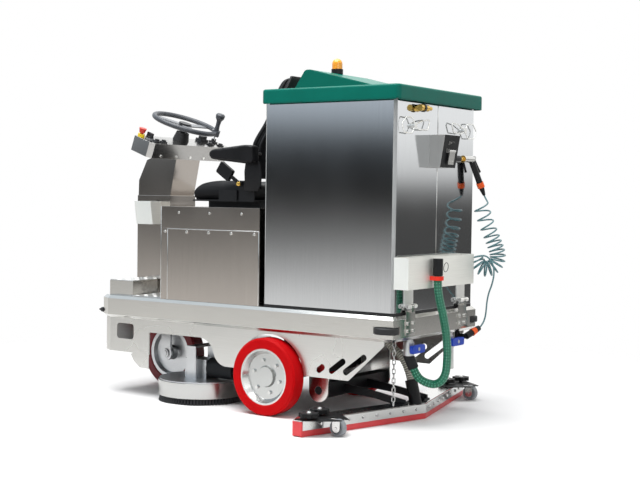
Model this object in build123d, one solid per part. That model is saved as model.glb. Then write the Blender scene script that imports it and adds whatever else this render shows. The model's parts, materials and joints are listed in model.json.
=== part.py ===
from build123d import *
import math
import os

# Ride-on floor scrubber. Sizes in mm: X forward from the rear axle, Y to the left, Z up from the floor.
# Every piece is shifted along X on export, so that the origin is under the middle of the whole machine.

# Sheet, fits and clearances
SHEET = 3.0
THIN = 2.0
GAP = 0.5
RUN = 0.05

# Wheels and axles
WHEEL_R = 185.0
RIM_R = 134.0
TYRE_WIDTH = 85.0
WHEEL_OUTER_Y = 432.0
STUB_R = 20.0
AXLE_TUBE = 60.0
DRIVE_X = 936.0
DRIVE_AXLE_R = 15.0
FORK_ARM = 15.0
FORK_SIDE_GAP = 12.5
HUB_HALF = 38.0
DRIVE_HUB_PROUD = 4.0
DRIVE_HUB_R = 34.0
DRIVE_WEB = 14.0
DRIVE_WEB_IN = 40.0
DRIVE_WEB_OUT = 108.0
DRIVE_RIM_IN = 116.0
WEB_OUT = 10.0
WEB_IN = -4.0
CAP_OUT = 24.0
STUB_END = 13.0

# Chassis
CHASSIS_HALF = 390.0
CHASSIS_REAR = -693.0
CHASSIS_FRONT = 1125.0
CORNER_LONG = 70.0
CORNER_SIDE = 40.0
BAND_BOTTOM = 412.0
BAND_TOP = 497.0
FOLD = 15.0
SKIRT_BOTTOM = 221.0
REAR_SKIRT_BOTTOM = 204.0
ARCH_CLEARANCE = 15.0
RAIL_HEIGHT = 60.0
RAIL_WIDTH = 40.0
RAIL_Y = 200.0
RAIL_REAR = -616.0
BUFFER_LENGTH = 38.0
BUFFER_Z = 413.0
ROLLER_R = 57.0
ROLLER_WIDTH = 28.0
ROLLER_X = -648.0
ROLLER_Y = 375.0
ROLLER_Z = 448.0
ROLLER_PIN_R = 8.0
ROLLER_CROSS_X = -596.0
CROSS_WIDTH = 40.0
RAIL_FRONT_GAP = 60.0
HEAD_BACK = 105.0
HEAD_FRONT = 54.0
LIFT_PLATE_HALF = 45.0
AXLE_HANGER_HALF = 40.0
AXLE_HANGER = 20.0
PIN_BELOW = 8.0
OUTRIGGER_BACK = 16.0
OUTRIGGER_IN = 22.0
# Side skirts, seen from the side: the long arch, the slope at the rear, the window and the slots
ARCH_REAR = 273.0
ARCH_FRONT = 773.0
ARCH_TOP = 335.0
ARCH_BEND = [(430.0, 335.0), (379.0, 313.0), (352.0, 275.0), (320.0, 222.0)]
SKIRT_REAR_LOW = -448.0
SKIRT_REAR_HIGH = (-638.0, 378.0)
WINDOW_CENTRE = (944.0, 330.0)
WINDOW_SIZE = (118.0, 80.0)
WINDOW_CORNER = 18.0
SKIRT_SLOTS = ((-294.0, 247.0, 52.0), (-386.0, 266.0, 108.0), (-482.0, 280.0, 152.0))
SLOT_WIDTH = 30.0
SLOT_ANGLE = -37.0
ARCH_FLAP_OUTLINE = [(901, 213), (869, 232), (776, 333), (776, 147), (838, 149), (881, 180)]
# Opening in the front skirt for the drive wheel, seen from the front
DRIVE_OPENING = [(-136, 0), (136, 0), (136, 300), (96, 330), (-96, 330), (-136, 300)]
HEAD_PLATE = 14.0
KINGPIN_R = 40.0
ACTUATOR_R = 28.0
ACTUATOR_BOTTOM = 345.0

# Foot well, steering column and console
STEP_REAR = 925.0
STEP_DEPTH = 165.0
STEP_HEIGHT = 76.0
STEP_HALF = 340.0
STEP_SKEW = 45.0
CHECKER = 4.0
COLUMN_REAR = 884.0
COLUMN_FRONT = 1119.0
COLUMN_HALF = 96.0
COLUMN_BASE_HALF = 102.0
COLUMN_BASE_TOP = 1036.0
CONSOLE_X = 814.0
CONSOLE_Z = 1304.0
CONSOLE_TILT = 20.0
CONSOLE_DEPTH = 132.0
CONSOLE_HEIGHT = 80.0
CONSOLE_WIDTH = 640.0
CONSOLE_CHAMFER = 22.0
POCKET_DEPTH = 80.0
POCKET_LENGTH = 115.0
POCKET_HEIGHT = 122.0
POCKET_LEAN = 18.0
POCKET_REAR = 936.0
POCKET_BOTTOM = 883.0
KNOB_ALONG = 78.0
KNOB_Y = 266.0
KNOB_STEM_R = 6.0
ESTOP_ALONG = 112.0
ESTOP_Y = 295.0
ESTOP_STEM_R = 8.0
ESTOP_TRAVEL = 4.0
LEVER_ALONG = 91.0
LEVER_Y = -267.0
LEVER_PIN_Z = 16.0
LEVER_PIN_R = 3.0

# Steering wheel
STEER_RIM_R = 170.0
STEER_GRIP_R = 13.0
STEER_ALONG = 95.0
STEER_RISE = 93.0
STEER_SHAFT_R = 12.0
SPINNER_ANGLE = 214.0
SPINNER_PIN_R = 5.0
SPOKE_ANGLES = (30.0, 150.0, 270.0)

# Seat box, batteries and seat
BOX_REAR = 72.0
BOX_LENGTH = 630.0
BODY_HALF = 375.0
BOX_TOP = 983.0
DOOR_TOP = 873.0
SEAT_REAR = 226.0
SEAT_LENGTH = 390.0
SEAT_WIDTH = 480.0
SEAT_PAN_Z = 1020.0
CUSHION_THICK = 72.0
BACK_PIVOT_X = 236.0
BACK_PIVOT_Z = 1080.0
ARM_PIVOT_X = 186.0
ARM_PIVOT_Z = 1248.0
ARM_INNER_Y = 275.0
ARM_WIDTH = 58.0
SEAT_PLATE_Y = 246.0
SEAT_PLATE = 6.0
BACK_PLATE_Y = 256.0
BACK_PIN_R = 8.0
ARM_PIN_R = 9.0
BUCKLE_Y = 263.0
BUCKLE_X = 284.0
BUCKLE_Z = 1100.0
BUCKLE_PIN_R = 5.0
# Backrest stations: height, rear of the board, front of the cushion, half width
BACK_STATIONS = [
    (1126, 188, 262, 232),
    (1200, 194, 281, 238),
    (1297, 176, 263, 234),
    (1440, 116, 205, 190),
    (1560, 90, 172, 152),
    (1636, 78, 146, 118),
]
BACK_BOARD = 14.0

# Tank, lid and rear panel
TANK_REAR = -682.0
TANK_LENGTH = 733.0
TANK_TOP = 1482.0
TANK_CORNER_R = 26.0
SEAL_HEIGHT = 15.0
DIVIDER_X = -300.0
LID_RIM = 63.0
LID_OVERHANG = 28.0
LID_WALL = 5.0
LID_DROP = 6.0
HUMP_HALF = 250.0
HUMP_FRONT = -25.0
HUMP_RISE = 100.0
BEACON_X = -121.0
BEACON_R = 29.0
LID_HINGE_R = 6.0
TILT_PIN_Z = 553.0
TILT_PIN_R = 6.0
TILT_HINGE_Y = 246.0
TRAY_LEFT = 375.0
TRAY_RIGHT = -241.0
TRAY_DEPTH = 75.0
TRAY_BOTTOM = 635.0
TRAY_HEIGHT = 142.0
LATCH_BOX_DEPTH = 80.0
LATCH_BOX_WIDTH = 145.0
LATCH_BOX_HEIGHT = 150.0
LATCH_BOX_BOTTOM = 1185.0
HOOK_WIRE_R = 3.0
NIPPLE_Y = 186.0
NIPPLE_Z = 1451.0
NIPPLE_R = 9.0
GUN_Y = -165.0
GUN_Z = 1232.0
LID_HINGE_Y = 255.0
LID_LIP = 3.0
LID_LEDGE = 30.0
HUMP_PEAK = -95.0
HUMP_REAR = -544.0
VACUUM_X = -165.0
VACUUM_R = 72.0
HOOK_Y = 237.0
HOOK_Z = 1368.0
HOOK_STAND = 16.0
NIPPLE_LENGTH = 30.0
LATCH_FOOT_DEPTH = 55.0
LATCH_PIN_R = 3.0
GUN_X = -712.0
GUN_NOZZLE_R = 9.0
GUN_GRIP_R = 15.0
GUN_BARREL_END = -292.0
GRIP_TOP = (-714.0, -284.0, 1222.0)
GRIP_END = (-741.0, -352.0, 1078.0)
TRIGGER_Y = -302.0
TRIGGER_Z = 1242.0
TRIGGER_PIN_R = 3.0
TRIGGER_ROOT_R = 5.0
TRIGGER_ARM_R = 6.0

# Hoses
DRAIN_HOSE_R = 20.0
DRAIN_BORE_R = 16.0
DRAIN_RIB = 1.6
DRAIN_RIBS = 96
CURLY_TUBE_R = 4.0
CURLY_COIL_R = 38.0
SUCTION_R = 21.0
SUCTION_BORE_R = 17.0
SUCTION_RIBS = 26
VALVE_X = -655.0
VALVE_LEFT_Y = 188.0
VALVE_RIGHT_Y = -190.0
VALVE_Z = 354.0
VALVE_PIPE_R = 20.0
VALVE_R = 25.0
VALVE_STEM_R = 8.0
VALVE_STEM = 32.0
HANDLE_LENGTH = 112.0
SLEEVE_R = 24.0
SLEEVE_LENGTH = 100.0
SLEEVE_BORE_R = 20.0
TAP_START = (-704.0, -276.0, 372.0)
TAP_WAY = Vector(-12, -36, 16).normalized()
TAP_PIPE_X = -655.0
TAP_LENGTH = 42.0
CONNECTOR_LENGTH = 52.0
CLIP_Y = 158.0
CLIP_Z = 680.0
CLIP_HEIGHT = 18.0
CUFF_TOP = 769.0
DRAIN_EXIT = Vector(-18, -11, -52).normalized()
DRAIN_CUFF_LENGTH = 62.0
DRAIN_ROUTE = [
    (-722.0, 146.0, 196.0),
    (-764.0, 118.0, 186.0),
    (-798.0, 98.0, 222.0),
    (-806.0, 93.0, 300.0),
    (-805.0, 100.0, 400.0),
    (-798.0, 122.0, 500.0),
    (-788.0, 146.0, 580.0),
]
SUCTION_LEAN = Vector(28, 0, 110).normalized()
SUCTION_CUFF = 114.0
SUCTION_STUB = (-440.0, 40.0)
SUCTION_STUB_Z = 412.0
CURLY_AXIS = [
    (-752.0, -309.0, 1017.0),
    (-765.0, -327.0, 949.0),
    (-786.0, -345.0, 882.0),
    (-809.0, -360.0, 819.0),
    (-822.0, -368.0, 765.0),
    (-810.0, -357.0, 725.0),
    (-780.0, -330.0, 708.0),
    (-750.0, -303.0, 725.0),
    (-738.0, -292.0, 765.0),
]
CURLY_PITCHES = [(0.0, 46.0), (0.32, 42.0), (0.46, 20.0), (0.58, 19.5), (0.66, 29.0), (0.85, 30.0),
                 (1.0, 33.0)]
CURLY_TURNS = 15.25
CURLY_ACROSS = Vector(0.67, -0.743, 0)
CURLY_START_ANGLE = math.pi / 2
CURLY_TAIL = [
    (-800.0, -284.0, 772.0),
    (-832.0, -294.0, 736.0),
    (-838.0, -300.0, 684.0),
    (-822.0, -312.0, 632.0),
    (-790.0, -338.0, 584.0),
    (-766.0, -368.0, 536.0),
    (-752.0, -390.0, 488.0),
    (-744.0, -392.0, 446.0),
]

# Brush deck
BRUSH_X = 544.0
BRUSH_Y = 229.0
BRUSH_R = 226.0
SHROUD_R = 222.0
SHROUD_BOTTOM = 31.0
SHROUD_TOP = 107.0
BRISTLE_GROUND = 1.0
DECK_PLATE = 6.0
GEARBOX_HEIGHT = 96.0
MOTOR_R = 52.0
LIFT_ROD_R = 14.0
STRAND_RINGS = 5
STRANDS_PER_RING = 44
YOKE_TOP = 278.0
YOKE = 8.0
SPINDLE_R = 15.0
BRUSH_TOP = 97.0
BRUSH_DISC_R = 204.0

# Squeegee
SQUEEGEE_HALF = 737.0
SQUEEGEE_REAR = -637.0
SQUEEGEE_SLOPE = 195.0 / 737.0
SQUEEGEE_DEPTH = 100.0
END_TUCK = 60.0
END_TUCK_RUN = 90.0
END_LIP = 6.0
SQUEEGEE_BOTTOM = 30.0
SQUEEGEE_TOP = 72.0
BLADE = 5.0
BLADE_GROUND = 1.0
LIFT_PIVOT_X = -218.0
LIFT_PIVOT_Z = 125.0
LIFT_TUBE = 70.0
LIFT_JOURNAL_R = 20.0
HANGER = 8.0
HANGER_Y = 272.0
HANGER_HALF = 55.0
CASTER_R = 37.5
CASTER_INWARD = 125.0
CASTER_BACK = 114.0
CASTER_WIDTH = 28.0
CASTER_PIN_R = 5.0
CUFF_R = 29.0
CHAIN_X = -578.0
CHAIN_Y = 190.0
CHAIN_WIRE_R = 2.5
CHAIN_BEND_R = 7.0
CHAIN_LINKS = 17
SQUEEGEE_SCREWS = 8
SCREW_FIRST_Y = 60.0
SCREW_LAST_INWARD = 103.0
SCREW_HEAD_R = 7.0
# Places on the end plate: forward of the body's rear corner, inward from its end
KNOB_PLACES = ((7.0, 156.0), (-14.0, 43.0))
END_PLATE_OUTLINE = [(30, 2), (-24, 2), (-146, 95), (-146, 155), (-78, 217), (-48, 247), (22, 247)]
STAR_KNOB_R = 44.0
STAR_KNOB_RISE = 13.0
STAR_KNOB_HEIGHT = 18.0
STAR_KNOB_NOTCHES = 7
STAR_NOTCH_R = 14.0
STAR_NOTCH_OUT = 50.0
STAR_STEM_R = 9.0
END_PLATE = 4.0
ARM_Y = 96.0

# Places that follow from the sizes above
DECK_TOP = BAND_TOP + FOLD
DECK_UNDER = DECK_TOP - SHEET
RAIL_BOTTOM = DECK_UNDER - RAIL_HEIGHT
SKIRT_TOP = BAND_BOTTOM - FOLD
SKIRT_Y = CHASSIS_HALF - FOLD
AXLE_Z = WHEEL_R
WHEEL_Y = WHEEL_OUTER_Y - TYRE_WIDTH / 2
FORK_Y = TYRE_WIDTH / 2 + FORK_SIDE_GAP
CROWN_BOTTOM = AXLE_Z + WHEEL_R + 20.0
CROWN_TOP = CROWN_BOTTOM + 15.0
BOX_FRONT = BOX_REAR + BOX_LENGTH
TANK_FRONT = TANK_REAR + TANK_LENGTH
TANK_BOTTOM = DECK_TOP + SEAL_HEIGHT
LID_BOTTOM = TANK_TOP + GAP
LID_TOP = LID_BOTTOM + LID_RIM
HUMP_TOP = LID_TOP + HUMP_RISE
LID_PIN_X = TANK_FRONT + 10.0
LID_PIN_Z = LID_BOTTOM + 8.0
STEP_TOP = DECK_TOP + STEP_HEIGHT
TRAY_REAR = TANK_REAR - TRAY_DEPTH
TRAY_TOP = TRAY_BOTTOM + TRAY_HEIGHT
CLIP_R = DRAIN_HOSE_R + 7.0
CLIP_X = TRAY_REAR - CLIP_R
SEAT_FRONT = SEAT_REAR + SEAT_LENGTH
FRONT_REACH = CHASSIS_FRONT + BUFFER_LENGTH
REAR_REACH = CLIP_X - CLIP_R
FRAME_SHIFT = -(FRONT_REACH + REAR_REACH) / 2
BAND_PLAN = [
    (CHASSIS_REAR, -CHASSIS_HALF),
    (CHASSIS_FRONT - CORNER_LONG, -CHASSIS_HALF),
    (CHASSIS_FRONT, -CHASSIS_HALF + CORNER_SIDE),
    (CHASSIS_FRONT, CHASSIS_HALF - CORNER_SIDE),
    (CHASSIS_FRONT - CORNER_LONG, CHASSIS_HALF),
    (CHASSIS_REAR, CHASSIS_HALF),
]
CROSS_BOTTOM = ROLLER_Z + ROLLER_WIDTH / 2 + 5.0
CROSS_HALF = CHASSIS_HALF - SHEET
CROSS_MEMBERS = [ROLLER_CROSS_X, LIFT_PIVOT_X, 330.0, 780.0]
STUB_START = WHEEL_OUTER_Y - TYRE_WIDTH - 12.0
TILT = Rot(0, -CONSOLE_TILT, 0)
TILT_PIN_X = CHASSIS_REAR - 8.0
LATCH_LEAN = math.degrees(math.atan((LATCH_BOX_DEPTH - LATCH_FOOT_DEPTH) / LATCH_BOX_HEIGHT))
LATCH_PIN_Z = LATCH_BOX_BOTTOM + 78.0
DRAIN_TOP = CLIP_Z + CLIP_HEIGHT / 2 + 3.0
SUCTION_FOOT = Vector(-606, 31, SQUEEGEE_TOP)
SQUEEGEE_END_X = SQUEEGEE_REAR + SQUEEGEE_HALF * SQUEEGEE_SLOPE
CASTER_X = SQUEEGEE_END_X - CASTER_BACK
CASTER_Y = SQUEEGEE_HALF - CASTER_INWARD
CASTER_Z = CASTER_R + GAP


# Small shape helpers
def block(x0, x1, y0, y1, z0, z1):
    centre = ((x0 + x1) / 2, (y0 + y1) / 2, (z0 + z1) / 2)
    return Pos(*centre) * Box(abs(x1 - x0), abs(y1 - y0), abs(z1 - z0))


def rod_x(x0, x1, y, z, radius):
    return Pos((x0 + x1) / 2, y, z) * Rot(0, 90, 0) * Cylinder(radius, abs(x1 - x0))


def rod_y(y0, y1, x, z, radius):
    return Pos(x, (y0 + y1) / 2, z) * Rot(90, 0, 0) * Cylinder(radius, abs(y1 - y0))


def rod_z(z0, z1, x, y, radius):
    return Pos(x, y, (z0 + z1) / 2) * Cylinder(radius, abs(z1 - z0))


def prism_z(points, z0, z1):
    return extrude(Pos(0, 0, z0) * Polygon(*points, align=None), amount=z1 - z0, dir=(0, 0, 1))


def prism_y(points, y0, y1):
    face = Plane.XZ.offset(-y0) * Polygon(*points, align=None)
    return extrude(face, amount=y1 - y0, dir=(0, 1, 0))


def prism_x(points, x0, x1):
    face = Plane.YZ.offset(x0) * Polygon(*points, align=None)
    return extrude(face, amount=x1 - x0, dir=(1, 0, 0))


def fused(first, *others):
    return first.fuse(*others).clean()


def other_side(shape):
    return mirror(shape, about=Plane.XZ)


def both_sides(shape):
    return [shape, other_side(shape)]


def solids_of(*shapes):
    found = []
    for shape in shapes:
        found.extend(shape.solids())
    return found


def inset(points, distance):
    """The convex outline with every side moved inwards by the distance; points run counter-clockwise."""
    moved = []
    count = len(points)
    for i in range(count):
        lines = []
        for a, b in ((points[i - 1], points[i]), (points[i], points[(i + 1) % count])):
            dx, dy = b[0] - a[0], b[1] - a[1]
            length = math.hypot(dx, dy)
            lines.append((a[0] - dy / length * distance, a[1] + dx / length * distance, dx, dy))
        (ax, ay, adx, ady), (bx, by, bdx, bdy) = lines
        along = ((bx - ax) * bdy - (by - ay) * bdx) / (adx * bdy - ady * bdx)
        moved.append((ax + adx * along, ay + ady * along))
    return moved


def turned(profile, x, y, z, axis):
    """A ring or disc turned from (radius, offset) points about an axis along Y or Z through the point."""
    plane = Plane((x, y, z), x_dir=(1, 0, 0), z_dir=(0, -1, 0) if axis == "z" else (0, 0, 1))
    about = Axis((x, y, z), (0, 0, 1) if axis == "z" else (0, 1, 0))
    return revolve(plane * Polygon(*profile, align=None), axis=about)


def rounded(shape, radius, *directions):
    """The shape with the edges along the given directions rounded."""
    edges = ShapeList()
    for direction in directions:
        edges += shape.edges().filter_by(direction)
    return fillet(edges, radius)


# Chassis band: folded stainless band and deck plate over the painted frame
def frustum(low, high, z0, z1):
    sections = [Pos(0, 0, z0) * Polygon(*low, align=None), Pos(0, 0, z1) * Polygon(*high, align=None)]
    return loft(sections, ruled=True)


def band_body(skin):
    wall = inset(BAND_PLAN, skin) if skin else BAND_PLAN
    folded = inset(BAND_PLAN, FOLD + skin)
    body = prism_z(wall, BAND_BOTTOM, BAND_TOP)
    top = frustum(wall, folded, BAND_TOP, DECK_TOP - skin)
    bottom = frustum(folded, wall, SKIRT_TOP, BAND_BOTTOM)
    return body.fuse(top, bottom)


def make_chassis_band():
    mouth = prism_z(inset(BAND_PLAN, FOLD + SHEET), SKIRT_TOP - SHEET, BAND_BOTTOM)
    deck = prism_z(inset(BAND_PLAN, FOLD + SHEET), DECK_UNDER, DECK_TOP)
    band = band_body(0) - band_body(SHEET) - mouth - deck
    half = ROLLER_WIDTH / 2 + 3
    for slot in both_sides(rod_z(ROLLER_Z - half, ROLLER_Z + half, ROLLER_X, ROLLER_Y, ROLLER_R + 4)):
        band -= slot
    return band.solids() + deck.solids()


def step_outline(side):
    inner = COLUMN_BASE_HALF + GAP
    front = STEP_REAR + STEP_DEPTH
    outline = [(STEP_REAR, STEP_HALF), (STEP_REAR + STEP_SKEW, inner), (front, inner), (front, STEP_HALF)]
    return [(x, side * y) for x, y in outline[:: side]]


def make_step_boxes():
    boxes = []
    for side in (1, -1):
        outline = step_outline(side)
        inner = inset(outline, SHEET)
        shell = prism_z(outline, DECK_TOP, STEP_TOP) - prism_z(inner, DECK_TOP - 1, STEP_TOP - SHEET)
        boxes.extend(shell.solids())
    return boxes


def make_checker_plates():
    plates = [prism_z(inset(step_outline(side), THIN), STEP_TOP, STEP_TOP + CHECKER) for side in (1, -1)]
    front = STEP_REAR - GAP
    well = [
        (BOX_FRONT + GAP, -STEP_HALF),
        (front, -STEP_HALF),
        (front, STEP_HALF),
        (BOX_FRONT + GAP, STEP_HALF),
    ]
    floor = prism_z(well, DECK_TOP, DECK_TOP + CHECKER)
    column = block(COLUMN_REAR - GAP, STEP_REAR, -COLUMN_BASE_HALF - GAP, COLUMN_BASE_HALF + GAP, 0,
                   BOX_TOP)
    return (floor - column).solids() + solids_of(*plates)


# Side skirts: sheets under the band
def skirt_cut(points):
    return prism_y(points, -CHASSIS_HALF, CHASSIS_HALF)


def slot_cut(x, z, length, width, angle):
    slot = Plane.XZ * Pos(x, z) * Rot(0, 0, angle) * SlotOverall(length, width)
    return extrude(slot, amount=CHASSIS_HALF, both=True)


def make_side_skirts():
    """A sheet along each side but the rear, mitred at the corners, cut for the wheels, windows and slots."""
    outer = inset(BAND_PLAN, FOLD)
    inner = inset(BAND_PLAN, FOLD + SHEET)
    arch = make_face([
        Line((ARCH_FRONT, 0), (ARCH_FRONT, ARCH_TOP)),
        Line((ARCH_FRONT, ARCH_TOP), (ARCH_BEND[0][0], ARCH_TOP)),
        ThreePointArc((ARCH_BEND[0][0], ARCH_TOP), ARCH_BEND[1], ARCH_BEND[2]),
        ThreePointArc(ARCH_BEND[2], ARCH_BEND[3], (ARCH_REAR, REAR_SKIRT_BOTTOM)),
        Line((ARCH_REAR, REAR_SKIRT_BOTTOM), (ARCH_REAR, 0)),
        Line((ARCH_REAR, 0), (ARCH_FRONT, 0)),
    ])
    rear = CHASSIS_REAR - 1
    top = SKIRT_TOP + 1
    window = Plane.XZ * Pos(*WINDOW_CENTRE) * RectangleRounded(*WINDOW_SIZE, WINDOW_CORNER)
    cuts = [
        extrude(Plane.XZ * arch, amount=CHASSIS_HALF, both=True),
        rod_y(-CHASSIS_HALF, CHASSIS_HALF, 0, AXLE_Z, WHEEL_R + ARCH_CLEARANCE),
        skirt_cut([(ARCH_FRONT, 0), (CHASSIS_FRONT, 0), (CHASSIS_FRONT, SKIRT_BOTTOM),
                   (ARCH_FRONT, SKIRT_BOTTOM)]),
        skirt_cut([(SKIRT_REAR_LOW, 0), (SKIRT_REAR_LOW, REAR_SKIRT_BOTTOM), SKIRT_REAR_HIGH,
                   (SKIRT_REAR_HIGH[0], top), (rear, top), (rear, 0)]),
        prism_x(DRIVE_OPENING, DRIVE_X, CHASSIS_FRONT),
        extrude(window, amount=CHASSIS_HALF, both=True),
    ]
    for x, z, length in SKIRT_SLOTS:
        cuts.append(slot_cut(x, z, length, SLOT_WIDTH, SLOT_ANGLE))
    skirts = []
    for i in range(1, len(outer)):
        sheet = prism_z([outer[i - 1], outer[i], inner[i], inner[i - 1]], REAR_SKIRT_BOTTOM, SKIRT_TOP)
        skirts += sheet.cut(*cuts).solids()
    return skirts + solids_of(*both_sides(make_arch_flap()))


def make_arch_flap():
    return prism_y(ARCH_FLAP_OUTLINE, SKIRT_Y, SKIRT_Y + SHEET)


# Painted frame under the deck plate
def make_chassis_frame():
    """Rails, cross members, head plates, hangers and outriggers, welded where they meet."""
    rail_in = RAIL_Y - RAIL_WIDTH / 2
    rails = both_sides(block(RAIL_REAR, CHASSIS_FRONT - RAIL_FRONT_GAP, rail_in, RAIL_Y + RAIL_WIDTH / 2,
                             RAIL_BOTTOM, DECK_UNDER))
    half = CROSS_WIDTH / 2
    members = []
    for x in CROSS_MEMBERS:
        member = block(x - half, x + half, -CROSS_HALF, CROSS_HALF, CROSS_BOTTOM, BAND_TOP)
        members += member.cut(*rails).solids()
    plate_top = RAIL_BOTTOM + HEAD_PLATE
    drive_plate = block(DRIVE_X - HEAD_BACK, DRIVE_X + HEAD_FRONT, -rail_in, rail_in, RAIL_BOTTOM,
                        plate_top)
    lift_plate = block(BRUSH_X - LIFT_PLATE_HALF, BRUSH_X + LIFT_PLATE_HALF, -rail_in, rail_in, RAIL_BOTTOM,
                       plate_top)
    lift_plate -= rod_z(RAIL_BOTTOM - 1, plate_top + 1, BRUSH_X, 0, LIFT_ROD_R + RUN)
    hanger = block(-AXLE_HANGER_HALF, AXLE_HANGER_HALF, RAIL_Y - AXLE_HANGER / 2, RAIL_Y + AXLE_HANGER / 2,
                   AXLE_Z + AXLE_TUBE / 2, RAIL_BOTTOM)
    roller_pin = rod_z(ROLLER_Z - ROLLER_WIDTH / 2 - PIN_BELOW, CROSS_BOTTOM, ROLLER_X, ROLLER_Y,
                       ROLLER_PIN_R)
    outrigger = block(ROLLER_X - OUTRIGGER_BACK, ROLLER_CROSS_X - half, ROLLER_Y - OUTRIGGER_IN, CROSS_HALF,
                      CROSS_BOTTOM, BAND_TOP)
    fittings = [drive_plate, lift_plate]
    fittings += both_sides(hanger) + both_sides(roller_pin) + both_sides(outrigger)
    return solids_of(*rails) + members + solids_of(*fittings)


def make_squeegee_hangers():
    """Two stainless plates under a cross member, bored for the ends of the squeegee's cross tube."""
    top = CROSS_BOTTOM
    plate = block(LIFT_PIVOT_X - HANGER_HALF, LIFT_PIVOT_X + HANGER_HALF, HANGER_Y, HANGER_Y + HANGER,
                  LIFT_PIVOT_Z, top)
    plate += rod_y(HANGER_Y, HANGER_Y + HANGER, LIFT_PIVOT_X, LIFT_PIVOT_Z, HANGER_HALF)
    plate -= rod_y(HANGER_Y - 1, HANGER_Y + HANGER + 1, LIFT_PIVOT_X, LIFT_PIVOT_Z, LIFT_JOURNAL_R + RUN)
    return solids_of(*both_sides(plate))


def make_lift_actuator():
    tube = rod_z(ACTUATOR_BOTTOM, RAIL_BOTTOM, BRUSH_X, 0, ACTUATOR_R)
    return (tube - rod_z(0, DECK_TOP, BRUSH_X, 0, LIFT_ROD_R + RUN)).solids()


def make_corner_roller():
    half = ROLLER_WIDTH / 2
    profile = [(ROLLER_PIN_R + RUN, -half), (ROLLER_R - 3, -half), (ROLLER_R, 3 - half),
               (ROLLER_R, half - 3),
               (ROLLER_R - 3, half), (ROLLER_PIN_R + RUN, half)]
    return turned(profile, ROLLER_X, ROLLER_Y, ROLLER_Z, "z")


def make_rubber_buffers():
    """Two rubber pegs on the front band, each tapering to a thin tip."""
    pieces = []
    for side in (1, -1):
        y = side * STEP_HALF
        pieces.append(Pos(CHASSIS_FRONT + 11, y, BUFFER_Z + 15) * Rot(0, 90, 0) * Cone(15, 12, 22))
        pieces.append(Pos(CHASSIS_FRONT + 30, y, BUFFER_Z + 15) * Rot(0, 90, 0) * Cone(7, 5, 16))
    return solids_of(*pieces)


# Rear axle and wheels
def make_rear_axle():
    half = AXLE_TUBE / 2
    tube = block(-half, half, -STUB_START, STUB_START, AXLE_Z - half, AXLE_Z + half)
    stub_end = WHEEL_Y + STUB_END
    return fused(tube, rod_y(-stub_end, stub_end, 0, AXLE_Z, STUB_R)).solids()


def wheel_tyre(x, y):
    half = TYRE_WIDTH / 2
    shoulder = 9.0
    profile = [(RIM_R, -HUB_HALF), (RIM_R + 6, -half), (WHEEL_R - shoulder, -half),
               (WHEEL_R, shoulder - half),
               (WHEEL_R, half - shoulder), (WHEEL_R - shoulder, half), (RIM_R + 6, half), (RIM_R, HUB_HALF)]
    return turned(profile, x, y, AXLE_Z, "y")


def make_rear_wheel():
    bore = STUB_R + RUN
    profile = [(RIM_R, -HUB_HALF), (RIM_R, HUB_HALF), (RIM_R - 9, HUB_HALF), (RIM_R - 26, WEB_OUT),
               (52, WEB_OUT),
               (46, CAP_OUT), (0, CAP_OUT), (0, STUB_END + GAP), (bore, STUB_END + GAP), (bore,
                                                                                          8 - HUB_HALF),
               (46, 8 - HUB_HALF), (52, WEB_IN), (RIM_R - 26, WEB_IN), (RIM_R - 9, -HUB_HALF)]
    hub = turned(profile, 0, WHEEL_Y, AXLE_Z, "y")
    bolts = []
    for i in range(6):
        angle = math.radians(60 * i + 15)
        x = 78 * math.cos(angle)
        z = AXLE_Z + 78 * math.sin(angle)
        bolts.append(rod_y(WHEEL_Y + WEB_OUT, WHEEL_Y + WEB_OUT + 9, x, z, 9))
    return Compound(solids_of(hub, wheel_tyre(0, WHEEL_Y), *bolts))


# Steered drive wheel at the front
def make_slew_bearing():
    ring = rod_z(CROWN_TOP + GAP, RAIL_BOTTOM, DRIVE_X, 0, KINGPIN_R + 42)
    return (ring - rod_z(0, DECK_TOP, DRIVE_X, 0, KINGPIN_R + RUN)).solids()


def make_drive_fork():
    reach = FORK_Y + FORK_ARM
    crown = block(DRIVE_X - 62, DRIVE_X + 62, -reach, reach, CROWN_BOTTOM, CROWN_TOP)
    arm = block(DRIVE_X - 32, DRIVE_X + 32, FORK_Y, reach, AXLE_Z, CROWN_BOTTOM)
    arm_end = rod_y(FORK_Y, reach, DRIVE_X, AXLE_Z, 40)
    axle = rod_y(-reach - 10, reach + 10, DRIVE_X, AXLE_Z, DRIVE_AXLE_R)
    nut = rod_y(reach, reach + 7, DRIVE_X, AXLE_Z, 24)
    kingpin = rod_z(CROWN_TOP, RAIL_BOTTOM - GAP, DRIVE_X, 0, KINGPIN_R)
    return fused(crown, axle, kingpin, *both_sides(arm), *both_sides(arm_end), *both_sides(nut)).solids()


def make_drive_motor():
    """Traction motor bolted to the right fork arm, in line with the wheel."""
    reach = FORK_Y + FORK_ARM
    motor = rod_y(-reach - 95, -reach, DRIVE_X, AXLE_Z + 76, 46)
    return motor.solids()


def make_drive_wheel():
    bore = DRIVE_AXLE_R + RUN
    half = [(bore, HUB_HALF + DRIVE_HUB_PROUD), (DRIVE_HUB_R, HUB_HALF + DRIVE_HUB_PROUD),
            (DRIVE_WEB_IN, DRIVE_WEB), (DRIVE_WEB_OUT, DRIVE_WEB), (DRIVE_RIM_IN, HUB_HALF),
            (RIM_R, HUB_HALF)]
    profile = half + [(r, -offset) for r, offset in reversed(half)]
    return solids_of(turned(profile, DRIVE_X, 0, AXLE_Z, "y"), wheel_tyre(DRIVE_X, 0))


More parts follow.
